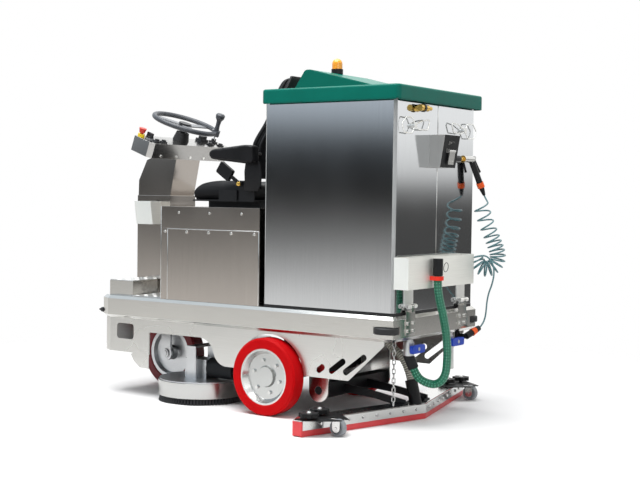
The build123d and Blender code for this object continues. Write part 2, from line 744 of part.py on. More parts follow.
# Seat box with its doors, batteries and fasteners
def make_seat_box():
    half = BODY_HALF - SHEET
    box = block(BOX_REAR, BOX_FRONT, -half, half, DECK_TOP, BOX_TOP)
    box -= block(BOX_REAR + SHEET, BOX_FRONT - SHEET, SHEET - half, half - SHEET, DECK_TOP - 1,
                 BOX_TOP - SHEET)
    box -= block(BOX_REAR + 45, BOX_FRONT - 45, -BODY_HALF, BODY_HALF, DECK_TOP + 40, DOOR_TOP - 40)
    strip = block(BOX_REAR, BOX_FRONT, half, BODY_HALF, DOOR_TOP + GAP, BOX_TOP)
    return fused(box, *both_sides(strip)).solids()


def make_seat_box_doors():
    door = block(BOX_REAR + 1, BOX_FRONT - 1, BODY_HALF - SHEET, BODY_HALF, DECK_TOP + 2, DOOR_TOP - GAP)
    return solids_of(*both_sides(door))


def make_battery_blocks():
    columns = 3
    pitch = (BOX_LENGTH - 60) / columns
    inner = BODY_HALF - 2 * SHEET - 12
    blocks = []
    for i in range(columns):
        x0 = BOX_REAR + 30 + i * pitch
        for y0, y1 in ((-inner, -4), (4, inner)):
            case = block(x0, x0 + pitch - 8, y0, y1, DECK_TOP, DECK_TOP + 290)
            post = rod_z(DECK_TOP + 290, DECK_TOP + 305, x0 + 40, (y0 + y1) / 2, 9)
            blocks.append(fused(case, post, post.moved(Pos(pitch - 88, 0, 0))))
    return solids_of(*blocks)


def make_panel_fasteners():
    """Screw heads of the seat box, the console and the chassis band: domes seated on their sheets."""
    heads = []
    pitch = (BOX_LENGTH - 60) / 4
    for i in range(5):
        heads.append(rod_y(BODY_HALF, BODY_HALF + 4, BOX_REAR + 30 + i * pitch, DOOR_TOP - 16, 7))
    for i in range(3):
        heads.append(rod_y(BODY_HALF, BODY_HALF + 3, BOX_REAR + 110 + i * 200, DOOR_TOP + 80, 6))
    heads = solids_of(*(head for pair in map(both_sides, heads) for head in pair))
    for y in (-230, -110, 0, 110, 230):
        heads += console_place(rod_x(-4, 0, y, 14 - CONSOLE_HEIGHT, 7)).solids()
    return heads


# Steering column and console
def console_place(shape):
    """Moves a shape from the console's own frame, whose origin is the middle of its upper driver edge."""
    return Pos(CONSOLE_X, 0, CONSOLE_Z) * TILT * shape


def make_steering_column():
    base = block(COLUMN_REAR, COLUMN_FRONT, -COLUMN_BASE_HALF, COLUMN_BASE_HALF, DECK_TOP, COLUMN_BASE_TOP)
    outline = [(848, 1232), (889, COLUMN_BASE_TOP), (COLUMN_FRONT, COLUMN_BASE_TOP), (1116, 1119),
               (1059, 1227), (948, 1268)]
    upper = prism_y(outline, -COLUMN_HALF, COLUMN_HALF)
    box = prism_y([(800, 1304), (800, 1500), (1000, 1500), (1000, 1376)], -COLUMN_HALF - 1, COLUMN_HALF + 1)
    console = console_place(block(-1, CONSOLE_DEPTH + 200, -CONSOLE_WIDTH, CONSOLE_WIDTH, -CONSOLE_HEIGHT,
                                  CONSOLE_HEIGHT))
    column = fused(base, upper - console - box)
    inner = prism_y([(873, 1215), (905, COLUMN_BASE_TOP), (905, DECK_TOP - 1),
                     (COLUMN_FRONT - 6, DECK_TOP - 1),
                     (COLUMN_FRONT - 6, 1116), (1053, 1215)], SHEET - COLUMN_HALF, COLUMN_HALF - SHEET)
    return (column - inner).solids()


def make_document_pocket():
    lean = POCKET_LEAN
    front = POCKET_REAR + POCKET_LENGTH
    top = POCKET_BOTTOM + POCKET_HEIGHT
    floor = POCKET_BOTTOM + SHEET
    outer = [(POCKET_REAR, POCKET_BOTTOM), (front, POCKET_BOTTOM), (front + lean, top),
             (POCKET_REAR + lean, top)]
    hollow = [(POCKET_REAR + SHEET, floor), (front - SHEET, floor), (front + lean - SHEET, top + 1),
              (POCKET_REAR + lean + SHEET, top + 1)]
    base_step = COLUMN_BASE_HALF
    pocket = prism_y(outer, base_step, base_step + POCKET_DEPTH)
    return (pocket - prism_y(hollow, base_step + SHEET, base_step + POCKET_DEPTH - SHEET)).solids()


def make_console_housing():
    half = CONSOLE_WIDTH / 2
    outline = [(0, -half), (CONSOLE_DEPTH, -half), (CONSOLE_DEPTH, half), (0, half)]
    body = prism_z(outline, -CONSOLE_HEIGHT, 0)
    body = chamfer(body.edges().filter_by(Axis.Z).group_by(Axis.X)[0], CONSOLE_CHAMFER)
    hollow = block(SHEET + CONSOLE_CHAMFER, CONSOLE_DEPTH - SHEET, SHEET - half, half - SHEET,
                   SHEET - CONSOLE_HEIGHT, -SHEET)
    body -= hollow
    body -= rod_z(-SHEET - 1, 1, STEER_ALONG, 0, STEER_SHAFT_R + RUN)
    return console_place(body).solids()


def make_console_fittings():
    """Boot, collars, switches and the lever bank, all seated on the console's top."""
    boot = Pos(STEER_ALONG, 0, 22) * Cone(44, 34, 44) - rod_z(-1, 50, STEER_ALONG, 0, STEER_SHAFT_R + RUN)
    estop_base = rod_z(0, 16, ESTOP_ALONG, ESTOP_Y, 18) - rod_z(4, 17, ESTOP_ALONG, ESTOP_Y,
                                                                ESTOP_STEM_R + RUN)
    ring = rod_z(0, 7, KNOB_ALONG, KNOB_Y, 25) - rod_z(2, 8, KNOB_ALONG, KNOB_Y, KNOB_STEM_R + RUN)
    pieces = [boot, estop_base, ring]
    for along, y in ((37, 250), (31, 205), (38, -182), (31, -261)):
        pieces.append(fused(block(along - 12, along + 12, y - 17, y + 17, 0, 6),
                            block(along - 7, along + 7, y - 10, y + 10, 6, 14)))
    pieces.append(fused(block(80, 122, -212, -150, 0, 14), block(92, 110, -206, -156, 14, 30)))
    lever_base = block(LEVER_ALONG - 20, LEVER_ALONG + 20, LEVER_Y - 14, LEVER_Y + 14, 0, 8)
    for side in (1, -1):
        cheek = block(LEVER_ALONG - 8, LEVER_ALONG + 8, LEVER_Y + side * 5, LEVER_Y + side * 11, 8, 22)
        lever_base = lever_base.fuse(cheek)
    pin = rod_y(LEVER_Y - 11, LEVER_Y + 11, LEVER_ALONG, LEVER_PIN_Z, LEVER_PIN_R)
    pieces.append(fused(lever_base, pin))
    return solids_of(*(console_place(piece) for piece in pieces))


def make_estop_button():
    stem = rod_z(6 + ESTOP_TRAVEL, 24, ESTOP_ALONG, ESTOP_Y, ESTOP_STEM_R)
    head = Pos(ESTOP_ALONG, ESTOP_Y, 34) * Cone(14, 20, 24)
    return console_place(fused(stem, head)).solids()


def make_speed_knob():
    stem = rod_z(3, 10, KNOB_ALONG, KNOB_Y, KNOB_STEM_R)
    skirt = rod_z(8, 16, KNOB_ALONG, KNOB_Y, 20)
    grip = block(KNOB_ALONG - 19, KNOB_ALONG + 19, KNOB_Y - 6, KNOB_Y + 6, 16, 34)
    return console_place(fused(stem, skirt, grip)).solids()


def make_direction_lever():
    boss = rod_y(LEVER_Y - 4.5, LEVER_Y + 4.5, LEVER_ALONG, LEVER_PIN_Z, 7)
    stick = rod_z(LEVER_PIN_Z, 52, LEVER_ALONG, LEVER_Y, 4)
    ball = Pos(LEVER_ALONG, LEVER_Y, 56) * Sphere(8)
    lever = fused(boss, stick, ball) - rod_y(LEVER_Y - 6, LEVER_Y + 6, LEVER_ALONG, LEVER_PIN_Z,
                                             LEVER_PIN_R + RUN)
    return console_place(lever).solids()


# Steering wheel
def make_steering_wheel():
    rim = Pos(STEER_ALONG, 0, STEER_RISE) * Torus(STEER_RIM_R, STEER_GRIP_R)
    hub = rod_z(STEER_RISE - 38, STEER_RISE + 4, STEER_ALONG, 0, 34)
    shaft = rod_z(-30, STEER_RISE - 38, STEER_ALONG, 0, STEER_SHAFT_R)
    pieces = [rim, hub, shaft]
    for angle in SPOKE_ANGLES:
        spoke = block(25, STEER_RIM_R, -24, 24, -12, -6)
        pieces.append(Pos(STEER_ALONG, 0, STEER_RISE) * Rot(0, 0, angle) * spoke)
    clamp = spinner_place(block(-20, 20, -22, 22, -16, STEER_GRIP_R + 3))
    pin = spinner_place(rod_z(STEER_GRIP_R, STEER_GRIP_R + 60, 0, 0, SPINNER_PIN_R))
    return console_place(fused(*pieces, clamp, pin)).solids()


def spinner_place(shape):
    angle = math.radians(SPINNER_ANGLE)
    x = STEER_ALONG + STEER_RIM_R * math.cos(angle)
    return Pos(x, STEER_RIM_R * math.sin(angle), STEER_RISE) * Rot(0, 0, SPINNER_ANGLE) * shape


def make_spinner_knob():
    low = STEER_GRIP_R + 3 + GAP
    profile = [(SPINNER_PIN_R + RUN, low), (14, low), (11, low + 26), (13, low + 52), (23, low + 68),
               (25, low + 84),
               (18, low + 92), (0, low + 92), (0, low + 60), (SPINNER_PIN_R + RUN, low + 60)]
    knob = turned(profile, 0, 0, 0, "z")
    return console_place(spinner_place(knob)).solids()


# Seat
def make_seat_base():
    """Rails and pan on the seat box, with the side plates and pins for the backrest and the buckle."""
    outer = SEAT_PLATE_Y + SEAT_PLATE
    pan = block(SEAT_REAR - 10, SEAT_FRONT - 20, -outer, outer, SEAT_PAN_Z - 8, SEAT_PAN_Z)
    rail = block(SEAT_REAR, SEAT_FRONT - 60, 130, 175, BOX_TOP, SEAT_PAN_Z - 8)
    plate = block(BACK_PIVOT_X - 34, BUCKLE_X + 16, SEAT_PLATE_Y, outer, SEAT_PAN_Z - 8, BUCKLE_Z + 14)
    back_pin = rod_y(outer, BACK_PLATE_Y + SEAT_PLATE + 3, BACK_PIVOT_X, BACK_PIVOT_Z, BACK_PIN_R)
    cover = block(BUCKLE_X + 22, 420, SEAT_PLATE_Y - 4, SEAT_PLATE_Y + 14, SEAT_PAN_Z - 8, 1069)
    buckle_pin = rod_y(outer, BUCKLE_Y + 8, BUCKLE_X, BUCKLE_Z, BUCKLE_PIN_R)
    pieces = [pan, buckle_pin]
    for piece in (rail, plate, back_pin, cover):
        pieces += both_sides(piece)
    return fused(*pieces).solids()


def drawn_outline(x0, x1, half, pull, z):
    """A pillow's level outline: four sides, each drawn in at its middle."""
    middle = (x0 + x1) / 2
    corners = [(x0, -half), (x1, -half), (x1, half), (x0, half)]
    waists = [(middle, pull - half), (x1 - pull, 0), (middle, half - pull), (x0 + pull, 0)]
    sides = []
    for i in range(4):
        sides.append(ThreePointArc(corners[i], waists[i], corners[(i + 1) % 4]))
    return Pos(0, 0, z) * make_face(sides)


def make_seat_cushion():
    half = SEAT_WIDTH / 2
    levels = ((0, 12), (0.25, 0), (0.6, 1), (0.86, 14), (1.0, 58))
    sections = []
    for share, draw in levels:
        z = SEAT_PAN_Z + share * CUSHION_THICK
        sections.append(drawn_outline(SEAT_REAR + draw, SEAT_FRONT - draw, half - draw, 7, z))
    return loft(sections).solids()


def back_section(z, rear, front, half):
    flank = (rear + 0.62 * (front - rear), half - 5)
    face = make_face([
        Line((rear, -half), (rear, half)),
        ThreePointArc((rear, half), flank, (front - 22, half - 16)),
        ThreePointArc((front - 22, half - 16), (front, 0), (front - 22, 16 - half)),
        ThreePointArc((front - 22, 16 - half), (flank[0], -flank[1]), (rear, -half)),
    ])
    return Pos(0, 0, z) * face


def make_backrest():
    cushion = loft([back_section(z, rear + BACK_BOARD, front, half) for z, rear, front,
                    half in BACK_STATIONS])
    outline = [(rear, z) for z, rear, front, half in BACK_STATIONS]
    outline += [(rear + BACK_BOARD, z) for z, rear, front, half in reversed(BACK_STATIONS)]
    board = prism_y(outline, -BODY_HALF, BODY_HALF)
    widths = [(half - 3, z) for z, rear, front, half in BACK_STATIONS]
    widths += [(3 - half, z) for z, rear, front, half in reversed(BACK_STATIONS)]
    board = board & prism_x(widths, 0, BOX_FRONT)
    lowest = BACK_STATIONS[0][0]
    plate = block(BACK_PIVOT_X - 44, BACK_PIVOT_X + 14, BACK_PLATE_Y, BACK_PLATE_Y + SEAT_PLATE,
                  BACK_PIVOT_Z, 1162)
    plate += rod_y(BACK_PLATE_Y, BACK_PLATE_Y + SEAT_PLATE, BACK_PIVOT_X, BACK_PIVOT_Z, 16)
    plate -= rod_y(0, BODY_HALF, BACK_PIVOT_X, BACK_PIVOT_Z, BACK_PIN_R + RUN)
    link = block(191, 202, 220, BACK_PLATE_Y + 1, lowest + 4, 1162)
    arm_pin = rod_y(225, ARM_INNER_Y + ARM_WIDTH - 14, ARM_PIVOT_X, ARM_PIVOT_Z, ARM_PIN_R)
    frame = board.fuse(*both_sides(plate), *both_sides(link), *both_sides(arm_pin))
    return (cushion - frame).solids() + frame.solids()


def make_armrest():
    outline = [(152, 1206), (152, 1284), (200, 1291), (412, 1270), (428, 1256), (428, 1236), (412, 1221),
               (190, 1198)]
    pad = rounded(prism_y(outline, ARM_INNER_Y, ARM_INNER_Y + ARM_WIDTH), 7, Axis.Y)
    pad -= rod_y(0, ARM_INNER_Y + ARM_WIDTH - 14 + GAP, ARM_PIVOT_X, ARM_PIVOT_Z, ARM_PIN_R + RUN)
    return pad


def make_belt_buckle():
    stalk = rod_y(BUCKLE_Y - 3, BUCKLE_Y + 3, 0, 0, 12) + block(0, 70, BUCKLE_Y - 3, BUCKLE_Y + 3, -9, 9)
    body = rounded(block(66, 156, BUCKLE_Y - 10, BUCKLE_Y + 10, -31, 31), 8, Axis.Y)
    buckle = fused(stalk, body) - rod_y(0, BODY_HALF, 0, 0, BUCKLE_PIN_R + RUN)
    return (Pos(BUCKLE_X, 0, BUCKLE_Z) * Rot(0, -34, 0) * buckle).solids()


# Tank, seal and lid
def make_tank_seal():
    outer = block(TANK_REAR + 6, TANK_FRONT - 6, 6 - BODY_HALF, BODY_HALF - 6, DECK_TOP, TANK_BOTTOM - GAP)
    return (outer - block(TANK_REAR + 36, TANK_FRONT - 36, 36 - BODY_HALF, BODY_HALF - 36, 0,
                          TANK_TOP)).solids()


def make_tank_shell():
    outer = block(TANK_REAR, TANK_FRONT, -BODY_HALF, BODY_HALF, TANK_BOTTOM, TANK_TOP)
    outer = rounded(outer, TANK_CORNER_R, Axis.Z)
    half = BODY_HALF - SHEET
    inner = block(TANK_REAR + SHEET, TANK_FRONT - SHEET, -half, half, TANK_BOTTOM + SHEET, TANK_TOP + 1)
    inner = rounded(inner, TANK_CORNER_R - SHEET, Axis.Z)
    divider = block(DIVIDER_X, DIVIDER_X + SHEET, -half, half, TANK_BOTTOM + 1, TANK_TOP - 40)
    tab = block(TANK_FRONT, LID_PIN_X + LID_HINGE_R, LID_HINGE_Y, LID_HINGE_Y + 20, LID_PIN_Z - 60,
                LID_PIN_Z - 20)
    tab += block(LID_PIN_X - 5, LID_PIN_X + LID_HINGE_R, LID_HINGE_Y, LID_HINGE_Y + 20, LID_PIN_Z - 21,
                 LID_PIN_Z + LID_HINGE_R)
    pin = rod_y(LID_HINGE_Y - 26, LID_HINGE_Y + 20, LID_PIN_X, LID_PIN_Z, LID_HINGE_R)
    return fused(outer - inner, divider, *both_sides(tab), *both_sides(pin)).solids()


def make_tank_lid():
    rear = TANK_REAR - LID_OVERHANG
    half = BODY_HALF + LID_OVERHANG
    low = LID_BOTTOM - LID_DROP
    rim = rounded(block(rear, TANK_FRONT, -half, half, low, LID_TOP), TANK_CORNER_R, Axis.Z)
    rim = fillet(rim.edges().group_by(Axis.Z)[-1], 10)
    rim -= block(rear + LID_LIP, TANK_FRONT + 1, LID_LIP - half, half - LID_LIP, low - 1, LID_BOTTOM)
    rim -= block(TANK_REAR + LID_LEDGE, TANK_FRONT - LID_LEDGE, LID_LEDGE - BODY_HALF,
                 BODY_HALF - LID_LEDGE, 0, LID_TOP - LID_WALL)
    outline = [(HUMP_FRONT, LID_TOP - 2), (HUMP_PEAK, HUMP_TOP), (HUMP_PEAK - 30, HUMP_TOP),
               (HUMP_REAR, LID_TOP - 2)]
    hump = prism_y(outline, -HUMP_HALF, HUMP_HALF)
    crest = hump.edges().filter_by(Axis.Y).group_by(Axis.Z)[-1]
    hump = fillet(crest, 24)
    inner = [(HUMP_FRONT - 12, LID_TOP), (HUMP_PEAK - 2, HUMP_TOP - LID_WALL),
             (HUMP_PEAK - 32, HUMP_TOP - LID_WALL),
             (HUMP_REAR + 40, LID_TOP)]
    lid = fused(rim, hump) - prism_y(inner, LID_WALL - HUMP_HALF, HUMP_HALF - LID_WALL)
    lid -= rod_z(LID_TOP - 20, LID_TOP + 1, VACUUM_X, 0, VACUUM_R - 16)
    knuckle = rod_y(LID_HINGE_Y - 25, LID_HINGE_Y - 3, LID_PIN_X, LID_PIN_Z, LID_HINGE_R + 4)
    knuckle += block(TANK_FRONT - 4, LID_PIN_X, LID_HINGE_Y - 25, LID_HINGE_Y - 3, LID_PIN_Z,
                     LID_PIN_Z + LID_HINGE_R + 4)
    bore = rod_y(-half, half, LID_PIN_X, LID_PIN_Z, LID_HINGE_R + RUN)
    return (fused(lid, *both_sides(knuckle)) - bore).solids()


def make_vacuum_motor():
    """Suction turbine under the lid's hump: flanged case on the lid's plate, fan drum through its hole."""
    case = rod_z(LID_TOP, LID_TOP + 58, VACUUM_X, 0, VACUUM_R - 10)
    flange = rod_z(LID_TOP, LID_TOP + 6, VACUUM_X, 0, VACUUM_R)
    drum = rod_z(LID_TOP - 45, LID_TOP, VACUUM_X, 0, VACUUM_R - 20)
    return fused(case, flange, drum).solids()


def make_beacon():
    base = rod_z(HUMP_TOP, HUMP_TOP + 24, BEACON_X + 10, 0, BEACON_R)
    lens = rod_z(HUMP_TOP + 24, HUMP_TOP + 50, BEACON_X + 10, 0, BEACON_R - 3)
    dome = Pos(BEACON_X + 10, 0, HUMP_TOP + 50) * Sphere(BEACON_R - 3)
    cap = fused(lens, dome & rod_z(HUMP_TOP + 50, HUMP_TOP + 90, BEACON_X + 10, 0, BEACON_R))
    return solids_of(base, cap)


# Fittings on the tank's rear panel
def make_tank_tray():
    outer = block(TRAY_REAR, TANK_REAR, TRAY_RIGHT, TRAY_LEFT, TRAY_BOTTOM, TRAY_TOP)
    return (outer - block(TRAY_REAR + THIN, TANK_REAR - THIN, TRAY_RIGHT + THIN, TRAY_LEFT - THIN,
                          TRAY_BOTTOM + THIN, TRAY_TOP + 1)).solids()


def bent_wire(points, corner):
    path = FilletPolyline(*points, radius=corner)
    section = Plane(path @ 0, z_dir=path % 0) * Circle(HOOK_WIRE_R)
    return sweep(section, path=path)


def make_wire_hooks():
    """A wire hook on each side: an oval eye outwards and a pointed eye inwards, on one welded stud."""
    x = TANK_REAR - HOOK_STAND
    eye = [(2, 5), (24, 34), (78, 36), (116, 4), (92, -34), (30, -36), (2, -5)]
    tail = [(-2, 5), (-62, 24), (-138, 34), (-112, -14), (-40, -16), (-2, -5)]
    hooks = []
    for side in (1, -1):
        stud = rod_x(x - HOOK_WIRE_R - 1, TANK_REAR, side * HOOK_Y, HOOK_Z, 12)
        wires = [bent_wire([(x, side * (HOOK_Y + y), HOOK_Z + z) for y, z in outline],
                           10) for outline in (eye, tail)]
        hooks.append(fused(stud, *wires))
    return solids_of(*hooks)


def make_fill_nipple():
    """Brass filling valve: hexagon body, ribbed collar and a spigot that the filling hose pushes onto."""
    z = NIPPLE_Z
    foot = rod_x(TANK_REAR - 14, TANK_REAR, NIPPLE_Y, z, 16)
    body = rod_y(NIPPLE_Y - 42, NIPPLE_Y + 30, TANK_REAR - 26, z, 15)
    collar = rod_y(NIPPLE_Y - 8, NIPPLE_Y + 2, TANK_REAR - 26, z, 19)
    spigot = rod_y(NIPPLE_Y - 42 - NIPPLE_LENGTH, NIPPLE_Y - 42, TANK_REAR - 26, z, NIPPLE_R)
    return fused(foot, body, collar, spigot).solids()


def make_hinge_upper_leaves():
    leaf = block(TANK_REAR - 3, TANK_REAR, TILT_HINGE_Y - 40, TILT_HINGE_Y + 40, TANK_BOTTOM + 20,
                 TRAY_BOTTOM - 5)
    pieces = [leaf]
    for y0 in (TILT_HINGE_Y - 38, TILT_HINGE_Y + 13):
        pieces.append(rod_y(y0, y0 + 25, TILT_PIN_X, TILT_PIN_Z, TILT_PIN_R + 4))
        pieces.append(block(TILT_PIN_X, TANK_REAR - 1, y0, y0 + 25, TILT_PIN_Z,
                            TILT_PIN_Z + TILT_PIN_R + 4))
    knuckles = fused(*pieces) - rod_y(0, BODY_HALF, TILT_PIN_X, TILT_PIN_Z, TILT_PIN_R + RUN)
    return solids_of(*both_sides(knuckles))


def make_hinge_lower_leaves():
    leaf = block(CHASSIS_REAR - 4, CHASSIS_REAR, TILT_HINGE_Y - 40, TILT_HINGE_Y + 40, BAND_BOTTOM + 12,
                 TANK_BOTTOM + 8)
    lug = block(TILT_PIN_X - 8, CHASSIS_REAR - 2, TILT_HINGE_Y - 12, TILT_HINGE_Y + 12, TANK_BOTTOM,
                TILT_PIN_Z)
    lug_end = rod_y(TILT_HINGE_Y - 12, TILT_HINGE_Y + 12, TILT_PIN_X, TILT_PIN_Z, TILT_PIN_R + 3)
    pin = rod_y(TILT_HINGE_Y - 40, TILT_HINGE_Y + 40, TILT_PIN_X, TILT_PIN_Z, TILT_PIN_R)
    bolts = []
    for y in (-24, 24):
        for z in (BAND_BOTTOM + 30, BAND_BOTTOM + 64):
            bolts.append(rod_x(CHASSIS_REAR - 11, CHASSIS_REAR - 4, TILT_HINGE_Y + y, z, 9))
    return solids_of(*both_sides(fused(leaf, lug, lug_end, pin, *bolts)))


def latch_face(z):
    return TANK_REAR - LATCH_FOOT_DEPTH - (z - LATCH_BOX_BOTTOM) * math.tan(math.radians(LATCH_LEAN))


def latch_place(shape):
    """Moves a shape onto the slanted rear face: its own X is square to the face, Z runs up along it."""
    return Pos(latch_face(LATCH_PIN_Z), 0, LATCH_PIN_Z) * Rot(0, -LATCH_LEAN, 0) * shape


def make_latch_box():
    half = LATCH_BOX_WIDTH / 2
    top = LATCH_BOX_BOTTOM + LATCH_BOX_HEIGHT
    outline = [(TANK_REAR, LATCH_BOX_BOTTOM), (latch_face(LATCH_BOX_BOTTOM), LATCH_BOX_BOTTOM),
               (latch_face(top), top), (TANK_REAR, top)]
    box = prism_y(outline, -half, half)
    cheeks = [latch_place(block(-14, 0, y, y + 5, -9, 9)) for y in (-36, 31)]
    pin = latch_place(rod_y(-36, 36, -9, 0, LATCH_PIN_R))
    keeper = latch_place(fused(block(-6, 0, -24, 24, 26, 44), block(-12, -4, -20, 20, 34, 40)))
    box = fused(box, pin, keeper, *cheeks)
    holster = rod_y(GUN_Y + 6, -half, GUN_X, GUN_Z, GUN_NOZZLE_R + 5)
    holster -= rod_y(GUN_Y, GUN_Y + 60, GUN_X, GUN_Z, GUN_NOZZLE_R + RUN)
    return solids_of(box, holster)


def make_latch_lever():
    lever = fused(rod_y(-30, 30, -9, 0, 6), block(-14, -8, -26, 26, -62, 0),
                  block(-18, -14, -18, 18, -60, -46))
    return latch_place(lever - rod_y(-40, 40, -9, 0, LATCH_PIN_R + RUN)).solids()


def rod_between(start, end, r0, r1):
    axis = Vector(*end) - Vector(*start)
    plane = Plane(origin=start, z_dir=axis)
    shape = Cylinder(r0, axis.length) if r0 == r1 else Cone(r0, r1, axis.length)
    return plane * Pos(0, 0, axis.length / 2) * shape


def along_grip(share):
    return tuple(a + share * (b - a) for a, b in zip(GRIP_TOP, GRIP_END))


def make_spray_gun():
    nozzle = rod_y(GUN_BARREL_END + 60, GUN_Y + 40, GUN_X, GUN_Z, GUN_NOZZLE_R)
    barrel = rod_y(GUN_BARREL_END, GUN_Y - 30, GUN_X, GUN_Z, 17)
    grip = rod_between(GRIP_TOP, along_grip(0.72), GUN_GRIP_R, GUN_GRIP_R)
    ring = rod_between(along_grip(0.7), along_grip(0.86), GUN_GRIP_R + 3, GUN_GRIP_R + 3)
    tail = rod_between(along_grip(0.84), along_grip(1.12), GUN_GRIP_R, 7)
    lug = block(GUN_X - 12, GUN_X + 12, TRIGGER_Y - 5, GUN_BARREL_END + 4, GUN_Z - 4, TRIGGER_Z + 5)
    slot = block(GUN_X - 7, GUN_X + 7, TRIGGER_Y - 30, GUN_BARREL_END - 2, GUN_Z - 40, TRIGGER_Z + 30)
    pin = rod_x(GUN_X - 12, GUN_X + 12, TRIGGER_Y, TRIGGER_Z, TRIGGER_PIN_R)
    gun = fused(nozzle, barrel, grip, ring, tail, lug - slot, pin)
    return gun.solids()


def make_gun_trigger():
    boss = rod_x(GUN_X - 6.5, GUN_X + 6.5, TRIGGER_Y, TRIGGER_Z, 7)
    tip_place = (GUN_X - 8, TRIGGER_Y - 50, TRIGGER_Z - 66)
    arm = rod_between((GUN_X, TRIGGER_Y, TRIGGER_Z), tip_place, TRIGGER_ROOT_R, TRIGGER_ARM_R)
    tip = Pos(*tip_place) * Sphere(7)
    trigger = fused(boss, arm, tip) - rod_x(GUN_X - 20, GUN_X + 20, TRIGGER_Y, TRIGGER_Z,
                                            TRIGGER_PIN_R + RUN)
    return trigger.solids()


# Water valves, their handles and the hose ends
def make_water_valves():
    """Two ball valves under the deck, the right one with its outlet sleeve and the tap of the curly hose."""
    pieces = []
    for y in (VALVE_LEFT_Y, VALVE_RIGHT_Y):
        pipe = rod_z(VALVE_Z, DECK_UNDER, VALVE_X, y, VALVE_PIPE_R)
        body = rod_z(VALVE_Z - 34, VALVE_Z + 30, VALVE_X, y, VALVE_R)
        stem = rod_x(VALVE_X - VALVE_R - VALVE_STEM, VALVE_X, y, VALVE_Z, VALVE_STEM_R)
        pieces.append(fused(pipe, body, stem))
    low = VALVE_Z - 34
    sleeve = Pos(VALVE_X, VALVE_RIGHT_Y, low - SLEEVE_LENGTH / 2) * Cone(SLEEVE_R + 3, SLEEVE_R,
                                                                         SLEEVE_LENGTH)
    sleeve -= rod_z(0, low + 1, VALVE_X, VALVE_RIGHT_Y, SLEEVE_BORE_R)
    pieces.append(sleeve)
    drop = rod_z(TAP_START[2] - 12, DECK_UNDER, TAP_PIPE_X, TAP_START[1], 12)
    elbow = rod_x(TAP_START[0], TAP_PIPE_X, TAP_START[1], TAP_START[2], 12)
    pieces.append(fused(drop, elbow, rod_between(TAP_START, tap_point(TAP_LENGTH), 16, 16)))
    return solids_of(*pieces)


def tap_point(distance):
    return tuple(Vector(*TAP_START) + TAP_WAY * distance)


def make_valve_handle(y):
    x0 = VALVE_X - VALVE_R - VALVE_STEM + 2
    bar = rounded(block(x0, x0 + 17, y - HANDLE_LENGTH / 2, y + HANDLE_LENGTH / 2, VALVE_Z - 19,
                        VALVE_Z + 19), 12, Axis.X)
    hub = rod_x(x0, x0 + 24, y, VALVE_Z, 16)
    handle = fused(bar, hub) - rod_x(x0 - 1, VALVE_X, y, VALVE_Z, VALVE_STEM_R + RUN)
    return handle.solids()


def drain_start(distance):
    root = Vector(VALVE_X, VALVE_LEFT_Y, VALVE_Z - 34)
    return root + DRAIN_EXIT * distance


def make_hose_clip():
    ring = rod_z(CLIP_Z - CLIP_HEIGHT / 2, CLIP_Z + CLIP_HEIGHT / 2, CLIP_X, CLIP_Y, CLIP_R)
    foot = block(CLIP_X, TRAY_REAR, CLIP_Y - 24, CLIP_Y + 24, CLIP_Z - CLIP_HEIGHT / 2,
                 CLIP_Z + CLIP_HEIGHT / 2)
    return (fused(ring, foot) - rod_z(0, TANK_TOP, CLIP_X, CLIP_Y, DRAIN_HOSE_R + 0.3)).solids()


def make_drain_cuff():
    """Black end piece of the drain hose, above its clip, with a plug in its mouth."""
    cuff = rod_z(DRAIN_TOP, CUFF_TOP, CLIP_X, CLIP_Y, DRAIN_HOSE_R + 3)
    return cuff.solids()


def make_hose_ends():
    """Cuff between the left valve and the drain hose, and the quick connector of the curly hose."""
    cuff = rod_between(tuple(drain_start(-14)), tuple(drain_start(DRAIN_CUFF_LENGTH)), DRAIN_HOSE_R + 5,
                       DRAIN_HOSE_R + 5)
    cuff -= rod_z(VALVE_Z - 34, DECK_UNDER, VALVE_X, VALVE_LEFT_Y, VALVE_R + 40)
    connector = rod_between(tap_point(TAP_LENGTH), tap_point(TAP_LENGTH + CONNECTOR_LENGTH), 19, 13)
    return solids_of(cuff, connector)


# Hoses
def route_radii(points):
    """The largest rounding that the runs beside each inner point leave room for."""
    radii = []
    for before, here, after in zip(points, points[1:], points[2:]):
        arriving = Vector(*here) - Vector(*before)
        leaving = Vector(*after) - Vector(*here)
        half_turn = math.radians(arriving.get_angle(leaving)) / 2
        radii.append(0.45 * min(arriving.length, leaving.length) / math.tan(half_turn))
    return radii


def route_path(name, points):
    radii = route_radii(points)
    print(name, "bend radii", [round(radius) for radius in radii])
    return FilletPolyline(*points, radius=radii)


def ribbed_hose(path, radius, bore, rib, count, steady):
    """A bored hose whose ribs are rings standing on a smooth wall, four circles to a rib."""
    length = path.length
    pitch = length / count
    sections = []
    for i in range(count):
        for share, height in ((0.0, 0.0), (0.3, 0.0), (0.45, rib), (0.85, rib)):
            sections.append(hose_section(path, (i + share) * pitch / length, radius - rib + height, steady))
    sections.append(hose_section(path, 1.0, radius - rib, steady))
    core = sweep(hose_section(path, 0.0, bore, steady), path=path)
    return loft(sections, ruled=True) - core


def hose_section(path, share, radius, steady):
    origin = path.position_at(share)
    return Plane(origin, x_dir=steady, z_dir=path.tangent_at(share)) * Circle(radius)


def make_drain_hose():
    start = drain_start(DRAIN_CUFF_LENGTH)
    points = [tuple(start), tuple(start + DRAIN_EXIT * 44)] + DRAIN_ROUTE
    points += [(CLIP_X, CLIP_Y, 640.0), (CLIP_X, CLIP_Y, DRAIN_TOP)]
    path = route_path("drain_hose", points)
    print("drain_hose length", round(path.length))
    return ribbed_hose(path, DRAIN_HOSE_R, DRAIN_BORE_R, DRAIN_RIB, DRAIN_RIBS, (0.52, -0.85, 0)).solids()


